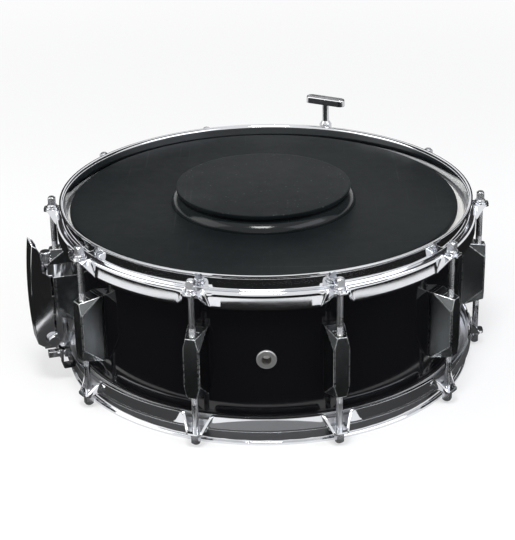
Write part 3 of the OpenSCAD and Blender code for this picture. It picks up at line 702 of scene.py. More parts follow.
@dataclass(frozen=True)
class StrapPlastic(Finish):
    """Glossy plastic strap with lengthwise scuffs."""

    colour: Colour = (0.02, 0.02, 0.022)
    scuffed: Colour = (0.07, 0.07, 0.072)
    grain: float = 0.00005

    def dress(self, nodes: NodeTree, shader: bpy.types.Node, place: bpy.types.NodeSocket,
              effects: EffectLibrary) -> None:
        """Sets the strap's colour and gloss.

        Args:
            nodes: The material's tree.
            shader: Its Principled shader.
            place: Socket of the place on the piece.
            effects: The shared effects.
        """
        scuffs = effects.place(nodes, Effect.SCRATCH, place, scale=30.0, amount=0.8)
        nodes.link(nodes.mix(scuffs, self.colour, self.scuffed), shader.inputs["Base Color"])
        rough = effects.place(nodes, Effect.SMUDGE, place, scale=40.0, low=0.18, high=0.32)
        nodes.link(rough, shader.inputs["Roughness"])
        grain = effects.place(nodes, Effect.GRAIN, place, scale=700.0, coarse=0.4)
        self.bump(nodes, shader, grain, strength=0.3, distance=self.grain)


class Look(Enum):
    """Every finish on the drum, by the part of the drum it is for."""

    HOOP_CHROME = PlatedMetal("hoop_chrome", rough=(0.03, 0.06), ripple=0.000004, ripple_scale=14.0, scuff=0.04)
    ROD_CHROME = PlatedMetal("rod_chrome", colour=(0.6, 0.61, 0.63), rough=(0.2, 0.3), ripple=0.00001,
                             ripple_scale=500.0, edge_wear_and_highlight_amount=0.3, thread_pitch=0.0009, thread_from=0.0395,
                             thread_to=0.1095)
    SMALL_CHROME = PlatedMetal("small_chrome", rough=(0.05, 0.12), ripple=0.00001, ripple_scale=400.0)
    KEY_CHROME = PlatedMetal("key_chrome", colour=(0.66, 0.66, 0.67), tint=(0.5, 0.5, 0.51), rough=(0.07, 0.15),
                             ripple=0.00002, ripple_scale=300.0)
    # On the lugs the near-white edge colour, at 0.9, paints bright highlight lines along the rounded edges and facets.
    LUG_SMOKE = PlatedMetal("lug_smoke", colour=(0.27, 0.285, 0.29), tint=(0.24, 0.255, 0.26), rough=(0.2, 0.26),
                            smudge_scale=12.0, ripple=0.000002, ripple_scale=40.0, scuff=0.05,
                            edge_wear_and_highlight_colour=(0.85, 0.87, 0.88), edge_wear_and_highlight_amount=0.9)
    GROMMET = PlatedMetal("grommet_nickel", colour=(0.86, 0.86, 0.85), tint=(0.74, 0.74, 0.73), rough=(0.34, 0.4),
                          ripple_scale=400.0, edge_wear_and_highlight_amount=0.2)
    NUT = PlatedMetal("nut_plating", colour=(0.72, 0.71, 0.66), tint=(0.6, 0.58, 0.52), rough=(0.12, 0.22),
                      ripple_scale=500.0)
    SCREW = PlatedMetal("screw_zinc", colour=(0.55, 0.55, 0.56), tint=(0.43, 0.43, 0.45), rough=(0.24, 0.4),
                        ripple_scale=600.0, scuff=0.6)
    CHANNEL = PlatedMetal("channel_alloy", colour=(0.72, 0.72, 0.73), tint=(0.6, 0.6, 0.62), rough=(0.28, 0.42),
                          ripple_scale=300.0, scuff=0.6)
    WIRE = PlatedMetal("wire_steel", colour=(0.7, 0.7, 0.71), tint=(0.55, 0.55, 0.56), rough=(0.14, 0.26),
                       ripple_scale=900.0)
    END_PLATE = PlatedMetal("end_plate_brass", colour=(0.76, 0.6, 0.33), tint=(0.6, 0.44, 0.22), rough=(0.2, 0.36),
                            ripple_scale=500.0, edge_wear_and_highlight_colour=(0.9, 0.78, 0.5))
    SHELL = ShellLacquer("shell_lacquer")
    PAD = PadRubber("pad_rubber")
    DISC = PadRubber("disc_rubber", rough=(0.38, 0.5), dust=0.35)
    DISC_FOOT = PadRubber("disc_foot_rubber", rough=(0.09, 0.12), dust=0.0, sheen=0.26)
    FILM = CoatedFilm("coated_film")
    CLEAR = ClearFilm("clear_film")
    STRAP = StrapPlastic("strap_plastic")


# ------------------------------------------------------------------ workshop


@dataclass(frozen=True)
class Rounding:
    """How the sharp edges of a construction node are rounded.

    Edges bent by more than the sharp angle, in degrees, are rounded. A shortest length above 0 leaves shorter
    edges alone, and the width is then never narrowed.
    """

    width: float
    sharp: float = 32.0
    segments: int = 2
    shortest: float = 0.0


@dataclass
class Workshop:
    """What every sub-assembly needs: the loaded frame, the effects and the finished materials."""

    frame: dict
    effects: EffectLibrary = field(default_factory=EffectLibrary)
    weld: float = 0.000002
    flat_angle: float = 0.6
    rounded_sharp: float = 38.0
    _materials: dict[Look, bpy.types.Material] = field(default_factory=dict)

    def material(self, look: Look) -> bpy.types.Material:
        """Finds the material of a finish, or builds it on its first use.

        Args:
            look: The finish.

        Returns:
            The material.
        """
        if look not in self._materials:
            self._materials[look] = look.value.material(self.effects)
        return self._materials[look]

    def dress_node(self, node: str, look: Look) -> None:
        """Gives a construction node its finish.

        Args:
            node: The node's name.
            look: Its finish.
        """
        data = self.frame["nodes"][node].data
        data.materials.clear()
        data.materials.append(self.material(look))
        LOG.info("node %s wears %s", node, look.value.title)

    def piece(self, name: str, shape: bmesh.types.BMesh, look: Look, body: str,
              replaces: Sequence[str] = (), sharp: float = 34.0) -> bpy.types.Object:
        """Turns a finished bmesh into a piece that rides on a body.

        Args:
            name: The piece's name.
            shape: Its mesh, in the shared frame; it is freed.
            look: Its finish.
            body: The body it rides on.
            replaces: Construction nodes that it stands for.
            sharp: Angle in degrees above which an edge stays sharp.

        Returns:
            The new object.
        """
        made = placed(name, shape)
        data = made.data
        data.polygons.foreach_set("use_smooth", [True] * len(data.polygons))
        data.set_sharp_from_angle(angle=math.radians(sharp))
        data.materials.append(self.material(look))
        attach(made, body)
        if replaces:
            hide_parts(*replaces)
        LOG.info("piece %s: %d faces on %s", name, len(data.polygons), body)
        return made

    def rounded_piece(self, name: str, shape: bmesh.types.BMesh, look: Look, body: str,
                      node: str) -> bpy.types.Object:
        """Turns a rounded bmesh into a piece whose flat faces stay flat beside the rounding.

        Args:
            name: The piece's name.
            shape: Its mesh; it is freed.
            look: Its finish.
            body: The body it rides on.
            node: The construction node that it stands for.

        Returns:
            The new object.
        """
        made = self.piece(name, shape, look, body, (node,), self.rounded_sharp)
        flat = made.modifiers.new("flat faces", "WEIGHTED_NORMAL")
        flat.mode, flat.weight, flat.keep_sharp = "FACE_AREA", FLAT_WEIGHT, True
        return made

    def merged(self, node: str) -> bmesh.types.BMesh:
        """Copies a construction node, its loose triangles joined into whole flat faces.

        Args:
            node: The node to copy.

        Returns:
            The copy's mesh.
        """
        shape = bmesh.new()
        shape.from_mesh(self.frame["nodes"][node].data)
        bmesh.ops.remove_doubles(shape, verts=shape.verts, dist=self.weld)
        bmesh.ops.dissolve_limit(shape, angle_limit=math.radians(self.flat_angle), verts=shape.verts,
                                 edges=shape.edges, use_dissolve_boundaries=False, delimit=set())
        return shape

    def softened(self, node: str, rounding: Rounding) -> bmesh.types.BMesh:
        """Copies a construction node with its sharp edges rounded and marked for the lighter edge colour, which stands
        for rubbing and paints edge highlights.

        Args:
            node: The node to copy.
            rounding: How its edges are rounded.

        Returns:
            The rounded mesh.
        """
        shape = self.merged(node)
        edge_mask = shape.faces.layers.float.new(ROUNDED_EDGE_MASK)
        hard = [e for e in shape.edges if e.is_manifold and e.calc_length() >= rounding.shortest
                and e.calc_face_angle(0.0) > math.radians(rounding.sharp)]
        for face in round_edges(shape, hard, rounding.width, rounding.segments, not rounding.shortest):
            face[edge_mask] = 1.0
        return shape


def placed(name: str, shape: bmesh.types.BMesh) -> bpy.types.Object:
    """Turns a bmesh into an object of the scene.

    Args:
        name: Name of the object and its mesh.
        shape: The mesh; it is freed.

    Returns:
        The new object.
    """
    data = bpy.data.meshes.new(name)
    shape.to_mesh(data)
    shape.free()
    made = bpy.data.objects.new(name, data)
    bpy.context.scene.collection.objects.link(made)
    return made


def round_edges(shape: bmesh.types.BMesh, edges: Sequence[bmesh.types.BMEdge], width: float, segments: int,
                narrowed: bool) -> list[bmesh.types.BMFace]:
    """Rounds some edges of a mesh.

    Args:
        shape: The mesh.
        edges: The edges to round.
        width: Width of the rounding.
        segments: Segments across it.
        narrowed: Whether the width is narrowed where roundings would meet.

    Returns:
        The faces of the rounding.
    """
    rounded = bmesh.ops.bevel(shape, geom=edges, offset=width, offset_type="OFFSET", segments=segments, profile=0.5,
                              affect="EDGES", clamp_overlap=narrowed, material=-1)
    return rounded["faces"]


def chain(shape: bmesh.types.BMesh, points: Sequence[Vector]) -> list[bmesh.types.BMVert]:
    """Adds points to a mesh, each joined to the next by an edge.

    Args:
        shape: The mesh.
        points: The points in order.

    Returns:
        The new vertices.
    """
    verts = [shape.verts.new(point) for point in points]
    for first, second in zip(verts, verts[1:]):
        shape.edges.new((first, second))
    return verts


def around(angle: float, radius: float, height: float, along: float = 0.0) -> Vector:
    """A point near the drum's wall.

    Args:
        angle: Degrees from the vent towards +X.
        radius: Distance outwards from the axis.
        height: Height above the floor.
        along: Distance along the wall from that angle.

    Returns:
        The point in the shared frame.
    """
    a = math.radians(angle)
    return Vector((radius * math.sin(a) + along * math.cos(a), -radius * math.cos(a) + along * math.sin(a), height))


def lathe(points: Sequence[Pair], steps: int, centre: Vector) -> bmesh.types.BMesh:
    """Spins an outline of (radius, height) points about a vertical axis.

    Args:
        points: The outline, from the axis round to the axis.
        steps: Number of steps in the turn.
        centre: A point on the axis.

    Returns:
        The spun mesh, its normals pointing outwards.
    """
    pole_weld = 0.000001
    shape = bmesh.new()
    chain(shape, [centre + Vector((radius, 0.0, height)) for radius, height in points])
    bmesh.ops.spin(shape, geom=shape.verts[:] + shape.edges[:], cent=centre, axis=(0, 0, 1), angle=2 * math.pi,
                   steps=steps, use_merge=True)
    bmesh.ops.remove_doubles(shape, verts=shape.verts, dist=pole_weld)
    bmesh.ops.recalc_face_normals(shape, faces=shape.faces)
    return shape


def arc(centre: Pair, radius: float, start: float, end: float, steps: int) -> list[Pair]:
    """Points of an arc in an outline.

    Args:
        centre: The arc's centre.
        radius: Its radius.
        start: First angle in degrees.
        end: Last angle in degrees.
        steps: Number of steps.

    Returns:
        The points, both ends included.
    """
    angles = [math.radians(start + (end - start) * i / steps) for i in range(steps + 1)]
    return [(centre[0] + radius * math.cos(a), centre[1] + radius * math.sin(a)) for a in angles]


# ------------------------------------------------------------------ hoops


@dataclass
class Hoop:
    """One pressed hoop: rolled rim, collar, step, skirt and ten folded ears."""

    name: str
    node: str
    rim_height: float
    up: float
    gates: tuple[float, ...] = ()
    sheet: float = 0.002
    collar_radius: float = 0.181
    rim_reach: float = 0.1842
    bend: float = 0.0016
    foot: float = 0.0018
    step_drop: float = 0.014
    skirt_radius: float = 0.1865
    skirt_end: float = 0.028
    ear_reach: float = 0.2003
    ear_half: float = 0.0063
    ear_corner: float = 0.0032
    cut_half: float = 0.0131
    fold: float = 0.0018
    ears: int = 10
    ear_shares: tuple[float, ...] = (0.0, 0.2, 0.4, 0.56, 0.7, 0.82, 0.92, 1.0)
    fold_shares: tuple[float, ...] = (0.2, 0.4, 0.6, 0.8, 1.0)
    skirt_shares: tuple[float, ...] = (0.03, 0.08, 0.15, 0.24, 0.35, 0.48, 0.62, 0.8, 1.0)
    gate_shares: tuple[float, ...] = (0.17, 0.34, 0.5, 0.67, 0.84, 1.0)
    gate_half: float = 0.022
    gate_top: float = 0.004
    gate_foot: float = 0.0122
    gate_margins: Pair = (0.0002, 0.0004)
    bend_steps: int = 6
    skirt_rows: int = 9
    skirt_bend: float = 0.3
    slant: float = 0.022
    smooth_rounds: int = 2
    smooth_share: float = 0.35
    edge_width: float = 0.0009
    edge_segments: int = 4
    sharp: float = 50.0

    def sheet_line(self) -> list[Pair]:
        """Draws the middle line of the sheet, from the rim down to the start of the skirt.

        Returns:
            Its points as (radius, drop below the rim).
        """
        rim_x = self.collar_radius + self.bend
        foot_x = self.collar_radius + self.foot
        half = 0.5 * self.sheet
        line = [(self.rim_reach, half), (0.5 * (self.rim_reach + rim_x), half)]
        line += [(x, -y) for x, y in arc((rim_x, -half - self.bend), self.bend, 90, 180, self.bend_steps)]
        line += [(self.collar_radius, self.gate_top), (self.collar_radius, 0.5 * (self.gate_top + self.gate_foot))]
        line += [(x, -y) for x, y in arc((foot_x, self.foot - self.step_drop), self.foot, 180, 270, self.bend_steps)]
        line.append((self.skirt_radius - self.bend, self.step_drop))
        return line

    def columns(self) -> list[float]:
        """Spaces the columns of the sheet on one side of an ear, closer where it is cut and folded.

        Returns:
            Their distances along the wall from the ear's middle.
        """
        half_sector = math.pi / self.ears * self.skirt_radius
        ear = [self.ear_half * f for f in self.ear_shares]
        web = [self.ear_half + self.fold * f for f in self.fold_shares]
        start = web[-1]
        gate = half_sector - self.gate_half
        first = [start + (gate - start) * f for f in self.skirt_shares]
        last = [gate + (half_sector - gate) * f for f in self.gate_shares]
        return ear + web + first + last

    def build(self, shop: Workshop) -> None:
        """Builds the hoop as a sheet and gives the sheet its thickness and rounded edges.

        Args:
            shop: The workshop.
        """
        line = self.sheet_line()
        side = self.columns()
        shape, column, row = self._ring(len(line) + self.skirt_rows, 2 * (len(side) - 1) * self.ears)
        for vert in shape.verts:
            vert.co = self.place(vert[column], vert[row], line, side)
        self.open_gates(shape)
        folds = [v for v in shape.verts if v[row] >= len(line) - 1]
        near = [v for v in folds if self._offset(v[column], side)[1] <= self.cut_half]
        for _ in range(self.smooth_rounds):
            bmesh.ops.smooth_vert(shape, verts=near, factor=self.smooth_share, use_axis_x=True, use_axis_y=True,
                                  use_axis_z=True)
        bmesh.ops.recalc_face_normals(shape, faces=shape.faces)
        made = shop.piece(self.name, shape, Look.HOOP_CHROME, "drum", (self.node,), sharp=self.sharp)
        wall = made.modifiers.new("wall", "SOLIDIFY")
        wall.thickness, wall.offset, wall.use_even_offset = self.sheet, 0.0, True
        wall.use_quality_normals = True
        edge = made.modifiers.new("edges", "BEVEL")
        edge.width, edge.segments, edge.use_clamp_overlap = self.edge_width, self.edge_segments, True
        edge.limit_method, edge.angle_limit = "ANGLE", math.radians(self.sharp)

    @staticmethod
    def _ring(rows: int, columns: int) -> tuple[bmesh.types.BMesh, bmesh.types.BMLayerItem, bmesh.types.BMLayerItem]:
        """Spins a flat ring that is shaped afterwards, each point marked with its column and row.

        Args:
            rows: Pairs across the sheet.
            columns: Pairs round the hoop.

        Returns:
            The ring, and the vertex layers of its columns and its rows.
        """
        start, gap = 0.1, 0.001
        shape = bmesh.new()
        chain(shape, [Vector((start + gap * i, 0.0, 0.0)) for i in range(rows)])
        bmesh.ops.spin(shape, geom=shape.verts[:] + shape.edges[:], cent=(0, 0, 0), axis=(0, 0, 1),
                       angle=2 * math.pi, steps=columns, use_merge=True)
        column = shape.verts.layers.int.new("column")
        row = shape.verts.layers.int.new("row")
        for vert in shape.verts:
            turn = math.atan2(vert.co.y, vert.co.x) % (2 * math.pi)
            vert[column] = round(turn / (2 * math.pi) * columns) % columns
            vert[row] = round((vert.co.xy.length - start) / gap)
        return shape, column, row

    def _offset(self, column: int, side: Sequence[float]) -> tuple[int, float, float]:
        """Finds the ear that a column belongs to, its distance from the ear's middle, and the side.

        Args:
            column: The column's number round the hoop.
            side: Distances of the columns on one side of an ear.

        Returns:
            The ear's index, the distance and the side's sign.
        """
        per_side = len(side) - 1
        ear, place = divmod(column + per_side, 2 * per_side)
        local = place - per_side
        return ear % self.ears, side[abs(local)], 1.0 if local >= 0 else -1.0

    def place(self, column: int, row: int, line: Sequence[Pair], side: Sequence[float]) -> Vector:
        """Finds where one point of the sheet lies.

        Args:
            column: The point's column round the hoop.
            row: Its row along the sheet.
            line: The sheet's middle line down to the skirt.
            side: Distances of the columns on one side of an ear.

        Returns:
            The point in the shared frame.
        """
        ear, along, sign = self._offset(column, side)
        middle = 360.0 / self.ears * (ear + 0.5)
        if row < len(line):
            radius, drop = line[row]
            angle = middle + sign * math.degrees(along / self.skirt_radius)
            return around(angle, radius, self.rim_height - self.up * drop)
        part = (row - len(line) + 1) / self.skirt_rows
        ear_point = self._ear_point(min(along, self.ear_half), part)
        skirt_point = self._skirt_point(along, part)
        share = min(max((along - self.ear_half) / self.fold, 0.0), 1.0)
        radius, drop, shift = (a + (b - a) * share for a, b in zip(ear_point, skirt_point))
        if share < 1.0:
            return around(middle, radius, self.rim_height - self.up * drop, sign * shift)
        angle = middle + sign * math.degrees(shift / self.skirt_radius)
        return around(angle, radius, self.rim_height - self.up * drop)

    def _ear_point(self, along: float, part: float) -> tuple[float, float, float]:
        """Finds a point on the flat ear.

        Args:
            along: Distance from the ear's middle.
            part: Share of the way out, from 0 to 1.

        Returns:
            Its radius, its drop below the rim and its distance from the ear's middle.
        """
        straight = self.ear_half - self.ear_corner
        over = max(along - straight, 0.0)
        end = self.ear_reach - self.ear_corner + math.sqrt(max(self.ear_corner ** 2 - over ** 2, 0.0))
        start = self.skirt_radius - self.bend
        return start + (end - start) * part, self.step_drop, along

    def _skirt_point(self, along: float, part: float) -> tuple[float, float, float]:
        """Finds a point on the skirt, whose cut end slants under the ear.

        Args:
            along: Distance from the ear's middle.
            part: Share of the way down, from 0 to 1.

        Returns:
            Its radius, its drop below the rim and its distance from the ear's middle.
        """
        if part <= self.skirt_bend:
            turn = math.radians(90 * part / self.skirt_bend)
            radius = self.skirt_radius - self.bend + self.bend * math.sin(turn)
            drop = self.step_drop + self.bend * (1 - math.cos(turn))
        else:
            radius = self.skirt_radius
            drop = self.step_drop + self.bend
            drop += (self.skirt_end - drop) * (part - self.skirt_bend) / (1 - self.skirt_bend)
        lean = (drop - self.step_drop) / (self.skirt_end - self.step_drop)
        start = self.ear_half + self.fold
        fade = max(1.0 - (along - start) / self.slant, 0.0) if along >= start else 1.0
        return radius, drop, along + (self.cut_half - start) * lean * fade ** 2

    def open_gates(self, shape: bmesh.types.BMesh) -> None:
        """Cuts the strap gates out of the collar.

        Args:
            shape: The hoop's sheet.
        """
        low, high = self.gate_top + self.gate_margins[0], self.gate_foot + self.gate_margins[1]
        doomed = []
        for face in shape.faces:
            middle = face.calc_center_median()
            drop = self.up * (self.rim_height - middle.z)
            for angle in self.gates:
                outwards = around(angle, 1.0, 0.0)
                along = abs(middle.dot(around(angle, 0.0, 0.0, 1.0)))
                if middle.dot(outwards) > 0 and along < self.gate_half and low < drop < high \
                        and middle.xy.length < self.collar_radius + self.foot:
                    doomed.append(face)
        bmesh.ops.delete(shape, geom=doomed, context="FACES")


# ------------------------------------------------------------------ softened hardware


class Edges(Enum):
    """The roundings of the small metal pieces, named for the pieces that have them."""

    LUG = Rounding(0.00045, 9.0, 2, 0.002)
    CASTING = Rounding(0.0005, 20.0, 3, 0.002)
    LEVER = Rounding(0.0005, 20.0, 3, 0.0014)
    BLOCK = Rounding(0.0004, shortest=0.0015)
    KNOB = Rounding(0.0002, shortest=0.0012)
    PIN = Rounding(0.0004)
    ROD = Rounding(0.0003)
    WASHER = Rounding(0.0002)


@dataclass(frozen=True)
class Softening:
    """How one construction node becomes a piece with rounded edges."""

    node: str
    body: str
    edges: Edges
    slot: str = "chrome"
    look: Look = Look.SMALL_CHROME


@dataclass
class Hardware:
    """Castings, rods and small metal pieces whose edges are rounded."""

    lugs: int = 10
    fittings: tuple[Softening, ...] = (
        Softening("batter_washers", "drum", Edges.WASHER),
        Softening("snare_washers", "drum", Edges.WASHER),
        Softening("strainer_frame", "drum", Edges.CASTING),
        Softening("strainer_lever", "lever", Edges.LEVER),
        Softening("lever_pin", "drum", Edges.PIN),
        Softening("lift_block", "lift", Edges.BLOCK, "screw", Look.SCREW),
        Softening("strap_carriage", "carriage", Edges.BLOCK),
        Softening("tension_knob", "knob", Edges.KNOB),
        Softening("throw_clamp_plate", "carriage", Edges.BLOCK),
        Softening("throw_clamp_screws", "carriage", Edges.ROD),
        Softening("butt_body", "drum", Edges.CASTING),
        Softening("butt_clamp_plate", "drum", Edges.BLOCK),
        Softening("butt_clamp_screws", "drum", Edges.ROD),
    )

    def table(self) -> list[Softening]:
        """Lists every piece that gets rounded edges.

        Returns:
            The lugs and rods, then the fittings.
        """
        rows = []
        for i in range(1, self.lugs + 1):
            rows.append(Softening(f"lug_{i}", "drum", Edges.LUG, "lug_black", Look.LUG_SMOKE))
            for rod in (f"batter_rod_{i}", f"snare_rod_{i}"):
                rows.append(Softening(rod, rod, Edges.ROD, "rod_chrome", Look.ROD_CHROME))
        return [*rows, *self.fittings]

    def build(self, shop: Workshop) -> None:
        """Builds every rounded piece.

        Args:
            shop: The workshop.
        """
        for row in self.table():
            shape = shop.softened(row.node, row.edges.value)
            shop.rounded_piece(f"{row.node}_dressed", shape, row.look, row.body, row.node)


@dataclass
class DrumKey:
    """T-shaped key, its handle crowned along the top."""

    crown: float = 0.0019
    crown_segments: int = 6
    edge: float = 0.0004
    edge_segments: int = 2
    sharp: float = 35.0
    margin: float = 0.0001

    def build(self, shop: Workshop) -> None:
        """Builds the key from its construction node.

        Args:
            shop: The workshop.
        """
        shape = shop.merged("drum_key")
        shape.faces.layers.float.new(ROUNDED_EDGE_MASK)
        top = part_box("drum_key")[1].z
        rim = [e for e in shape.edges if min(v.co.z for v in e.verts) > top - self.margin]
        round_edges(shape, rim, self.crown, self.crown_segments, narrowed=False)
        base = [e for e in shape.edges if max(v.co.z for v in e.verts) < top - self.crown - self.margin
                and e.is_manifold and e.calc_face_angle(0.0) > math.radians(self.sharp)]
        round_edges(shape, base, self.edge, self.edge_segments, narrowed=True)
        shop.rounded_piece("drum_key_dressed", shape, Look.KEY_CHROME, "key", "drum_key")


@dataclass
class PlainNodes:
    """Construction nodes whose shape is right as it is."""

    looks: dict[str, Look] = field(default_factory=lambda: {
        "shell": Look.SHELL,
        "vent_grommet": Look.GROMMET,
        "batter_head": Look.FILM,
        "snare_head": Look.CLEAR,
        "batter_flesh_hoop": Look.CHANNEL,
        "snare_flesh_hoop": Look.CHANNEL,
        "swivel_nuts": Look.NUT,
        "mounting_screws": Look.SCREW,
        "snare_end_plates": Look.END_PLATE,
        "butt_strap": Look.STRAP,
    })

    def build(self, shop: Workshop) -> None:
        """Dresses every node.

        Args:
            shop: The workshop.
        """
        for node, look in self.looks.items():
            shop.dress_node(node, look)


# ------------------------------------------------------------------ pad


@dataclass
class PracticePad:
    """Rubber sheet on the head and the raised striking disc on it."""

    centre: Pair = (-0.002023, 0.005007)
    sheet_radius: float = 0.1738
    sheet_low: float = 0.1413
    sheet_high: float = 0.1452
    sheet_edge: float = 0.0016
    sheet_foot: float = 0.0006
    sheet_rings: tuple[float, ...] = (0.0, 0.25, 0.5, 0.75, 0.95)
    sheet_edge_steps: int = 6
    sheet_steps: int = 192
    disc_radius: float = 0.078
    disc_high: float = 0.1603
    disc_edge: float = 0.0005
    disc_rings: tuple[float, ...] = (0.0, 0.4, 0.8, 0.97)
    disc_edge_steps: int = 4
    disc_steps: int = 160
    neck_radius: float = 0.075
    neck_run: Pair = (0.0004, 0.0003)
    lid_low: float = 0.1569
    foot_reach: float = 0.008
    foot_height: float = 0.0095
    foot_start: float = 30.0
    foot_steps: int = 16
    foot_below: float = 0.001
    under_steps: int = 3
    sharp: float = 60.0

    def build(self, shop: Workshop) -> None:
        """Builds the sheet and the disc, whose foot has a finish of its own.

        Args:
            shop: The workshop.
        """
        middle = Vector((*self.centre, 0.0))
        sheet = lathe(self.sheet_outline(), self.sheet_steps, middle)
        shop.piece("pad_sheet", sheet, Look.PAD, "pad", ("practice_pad",), self.sharp)
        raised = lathe(self.disc_outline(), self.disc_steps, middle)
        disc = shop.piece("pad_striking_disc", raised, Look.DISC, "pad", ("pad_disc",), self.sharp)
        disc.data.materials.append(shop.material(Look.DISC_FOOT))
        for face in disc.data.polygons:
            face.material_index = int(face.center.z < self.lid_low - self.foot_below)

    def sheet_outline(self) -> list[Pair]:
        """Draws the outline of the sheet, with a rolled upper edge.

        Returns:
            Its points as (radius, height).
        """
        corner = (self.sheet_radius - self.sheet_edge, self.sheet_high - self.sheet_edge)
        inner = [(self.sheet_radius * f, self.sheet_high) for f in self.sheet_rings]
        lower = (self.sheet_radius - self.sheet_foot, self.sheet_low + self.sheet_foot)
        rolled = arc(corner, self.sheet_edge, 90, 0, self.sheet_edge_steps)
        return inner + rolled + arc(lower, self.sheet_foot, 0, -90, self.under_steps) + [(0.0, self.sheet_low)]

    def disc_outline(self) -> list[Pair]:
        """Draws the outline of the disc: flat lid, neck and a round foot that spreads onto the sheet.

        Returns:
            Its points as (radius, height).
        """
        low, lid, crisp = self.sheet_high, self.lid_low, self.disc_edge
        inner = [(self.disc_radius * f, self.disc_high) for f in self.disc_rings]
        top = arc((self.disc_radius - crisp, self.disc_high - crisp), crisp, 90, 0, self.disc_edge_steps)
        under = arc((self.disc_radius - crisp, lid + crisp), crisp, 0, -90, self.under_steps)
        neck = [(self.neck_radius + self.neck_run[0], lid), (self.neck_radius, lid - self.neck_run[1])]
        first = math.radians(self.foot_start)
        wide = self.foot_reach / (1 - math.sin(first))
        tall = self.foot_height / math.cos(first)
        turns = [first + (0.5 * math.pi - first) * i / self.foot_steps for i in range(self.foot_steps + 1)]
        middle = self.neck_radius - wide * math.sin(first)
        foot = [(middle + wide * math.sin(t), low + tall * math.cos(t)) for t in turns]
        return inner + top + under + neck + foot + [(self.neck_radius, low), (0.0, low)]


# ------------------------------------------------------------------ snares


@dataclass
class SnareSet:
    """Coiled strands under the lower head, and the strap, which slackens on the real drum when the lever is thrown;
    that slack is not built here.
    """

    strands: int = 20
    pitch: float = 0.0021
    length: float = 0.276
    height: float = 0.0123
    coil: float = 0.00058
    wire: float = 0.00021
    turn_pitch: float = 0.0013
    steps: int = 6
    wire_sides: int = 4
    sharp: float = 80.0
    axis_angle: float = STRAP_ANGLES[0]
    anchor: float = 0.0123
    clamp_level: float = 0.036
    fall: float = 0.007
    strap_edges: Rounding = Rounding(0.00008)

    def build(self, shop: Workshop) -> None:
        """Builds the coils in two halves, and the strap.

        Args:
            shop: The workshop.
        """
        half = self.strands // 2
        for name, first in (("snare_coils_front", 0), ("snare_coils_back", half)):
            shape = self.strand()
            source = shape.verts[:] + shape.edges[:] + shape.faces[:]
            bmesh.ops.translate(shape, verts=shape.verts, vec=(0, self._row(first), 0))
            for i in range(1, half):
                copy = bmesh.ops.duplicate(shape, geom=source)
                verts = [g for g in copy["geom"] if isinstance(g, bmesh.types.BMVert)]
                bmesh.ops.translate(shape, verts=verts, vec=(0, i * self.pitch, 0))
            out = around(self.axis_angle, 1.0, 0.0)
            turn = Matrix.Rotation(math.atan2(out.y, out.x), 4, "Z")
            bmesh.ops.transform(shape, matrix=Matrix.Translation((0, 0, self.height)) @ turn, verts=shape.verts)
            nodes = ("snare_wires",) if first else ()
            shop.piece(name, shape, Look.WIRE, "snares", nodes, self.sharp)
        shape = shop.softened("throw_strap", self.strap_edges)
        strap = shop.piece("throw_strap_dressed", shape, Look.STRAP, "drum", ("throw_strap",))
        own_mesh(strap)

    def _row(self, index: int) -> float:
        """The distance of a strand from the set's middle line."""
        return (index - 0.5 * (self.strands - 1)) * self.pitch

    def strand(self) -> bmesh.types.BMesh:
        """Coils one strand along X, centred on the origin.

        Returns:
            The strand's mesh.
        """
        turns = int(self.length / self.turn_pitch)
        shape = bmesh.new()
        bmesh.ops.create_circle(shape, cap_ends=False, segments=self.wire_sides, radius=self.wire)
        bmesh.ops.rotate(shape, verts=shape.verts, cent=(0, 0, 0), matrix=Matrix.Rotation(math.radians(90), 3, "X"))
        bmesh.ops.translate(shape, verts=shape.verts, vec=(-0.5 * turns * self.turn_pitch, 0, self.coil))
        bmesh.ops.spin(shape, geom=shape.verts[:] + shape.edges[:], cent=(0, 0, 0), axis=(1, 0, 0),
                       dvec=(self.turn_pitch / self.steps, 0, 0), angle=2 * math.pi * turns,
                       steps=self.steps * turns, use_merge=False)
        bmesh.ops.recalc_face_normals(shape, faces=shape.faces)
        return shape


# ------------------------------------------------------------------ studio


@dataclass(frozen=True)
class SoftLamp:
    """One soft area lamp that looks at the drum."""

    name: str
    angle: float
    height: float
    distance: float
    size: Pair
    power: float
    tint: Colour = (1.0, 1.0, 1.0)


@dataclass(frozen=True)
class DarkCard:
    """A dark studio card that lies or stands round part of the set and is seen only in reflections, where it paints
    dark reflections on the glossy parts.

    The inner and the outer edge each run from one radius at the card's start to another at its end, and the
    outer edge may bow outwards between them. Each edge has its own height.
    """

    name: str
    start: float
    end: float
    inner: Pair
    outer: Pair
    bow: float = 0.0
    height: Pair = (0.001, 0.001)
    shade: float = 0.012

    def twin(self) -> DarkCard:
        """Mirrors a card on the left into the one on the right.

        Returns:
            The card on the right.
        """
        return replace(self, name=self.name.replace("left", "right"), start=-self.end, end=-self.start,
                       inner=self.inner[::-1], outer=self.outer[::-1])

    def edges(self, part: float) -> Pair:
        """Finds the card's two radii part of the way along it.

        Args:
            part: The share of its length, from 0 to 1.

        Returns:
            The inner and the outer radius.
        """
        inner, outer = (side[0] + (side[1] - side[0]) * part for side in (self.inner, self.outer))
        return inner, outer + self.bow * 4 * part * (1 - part)


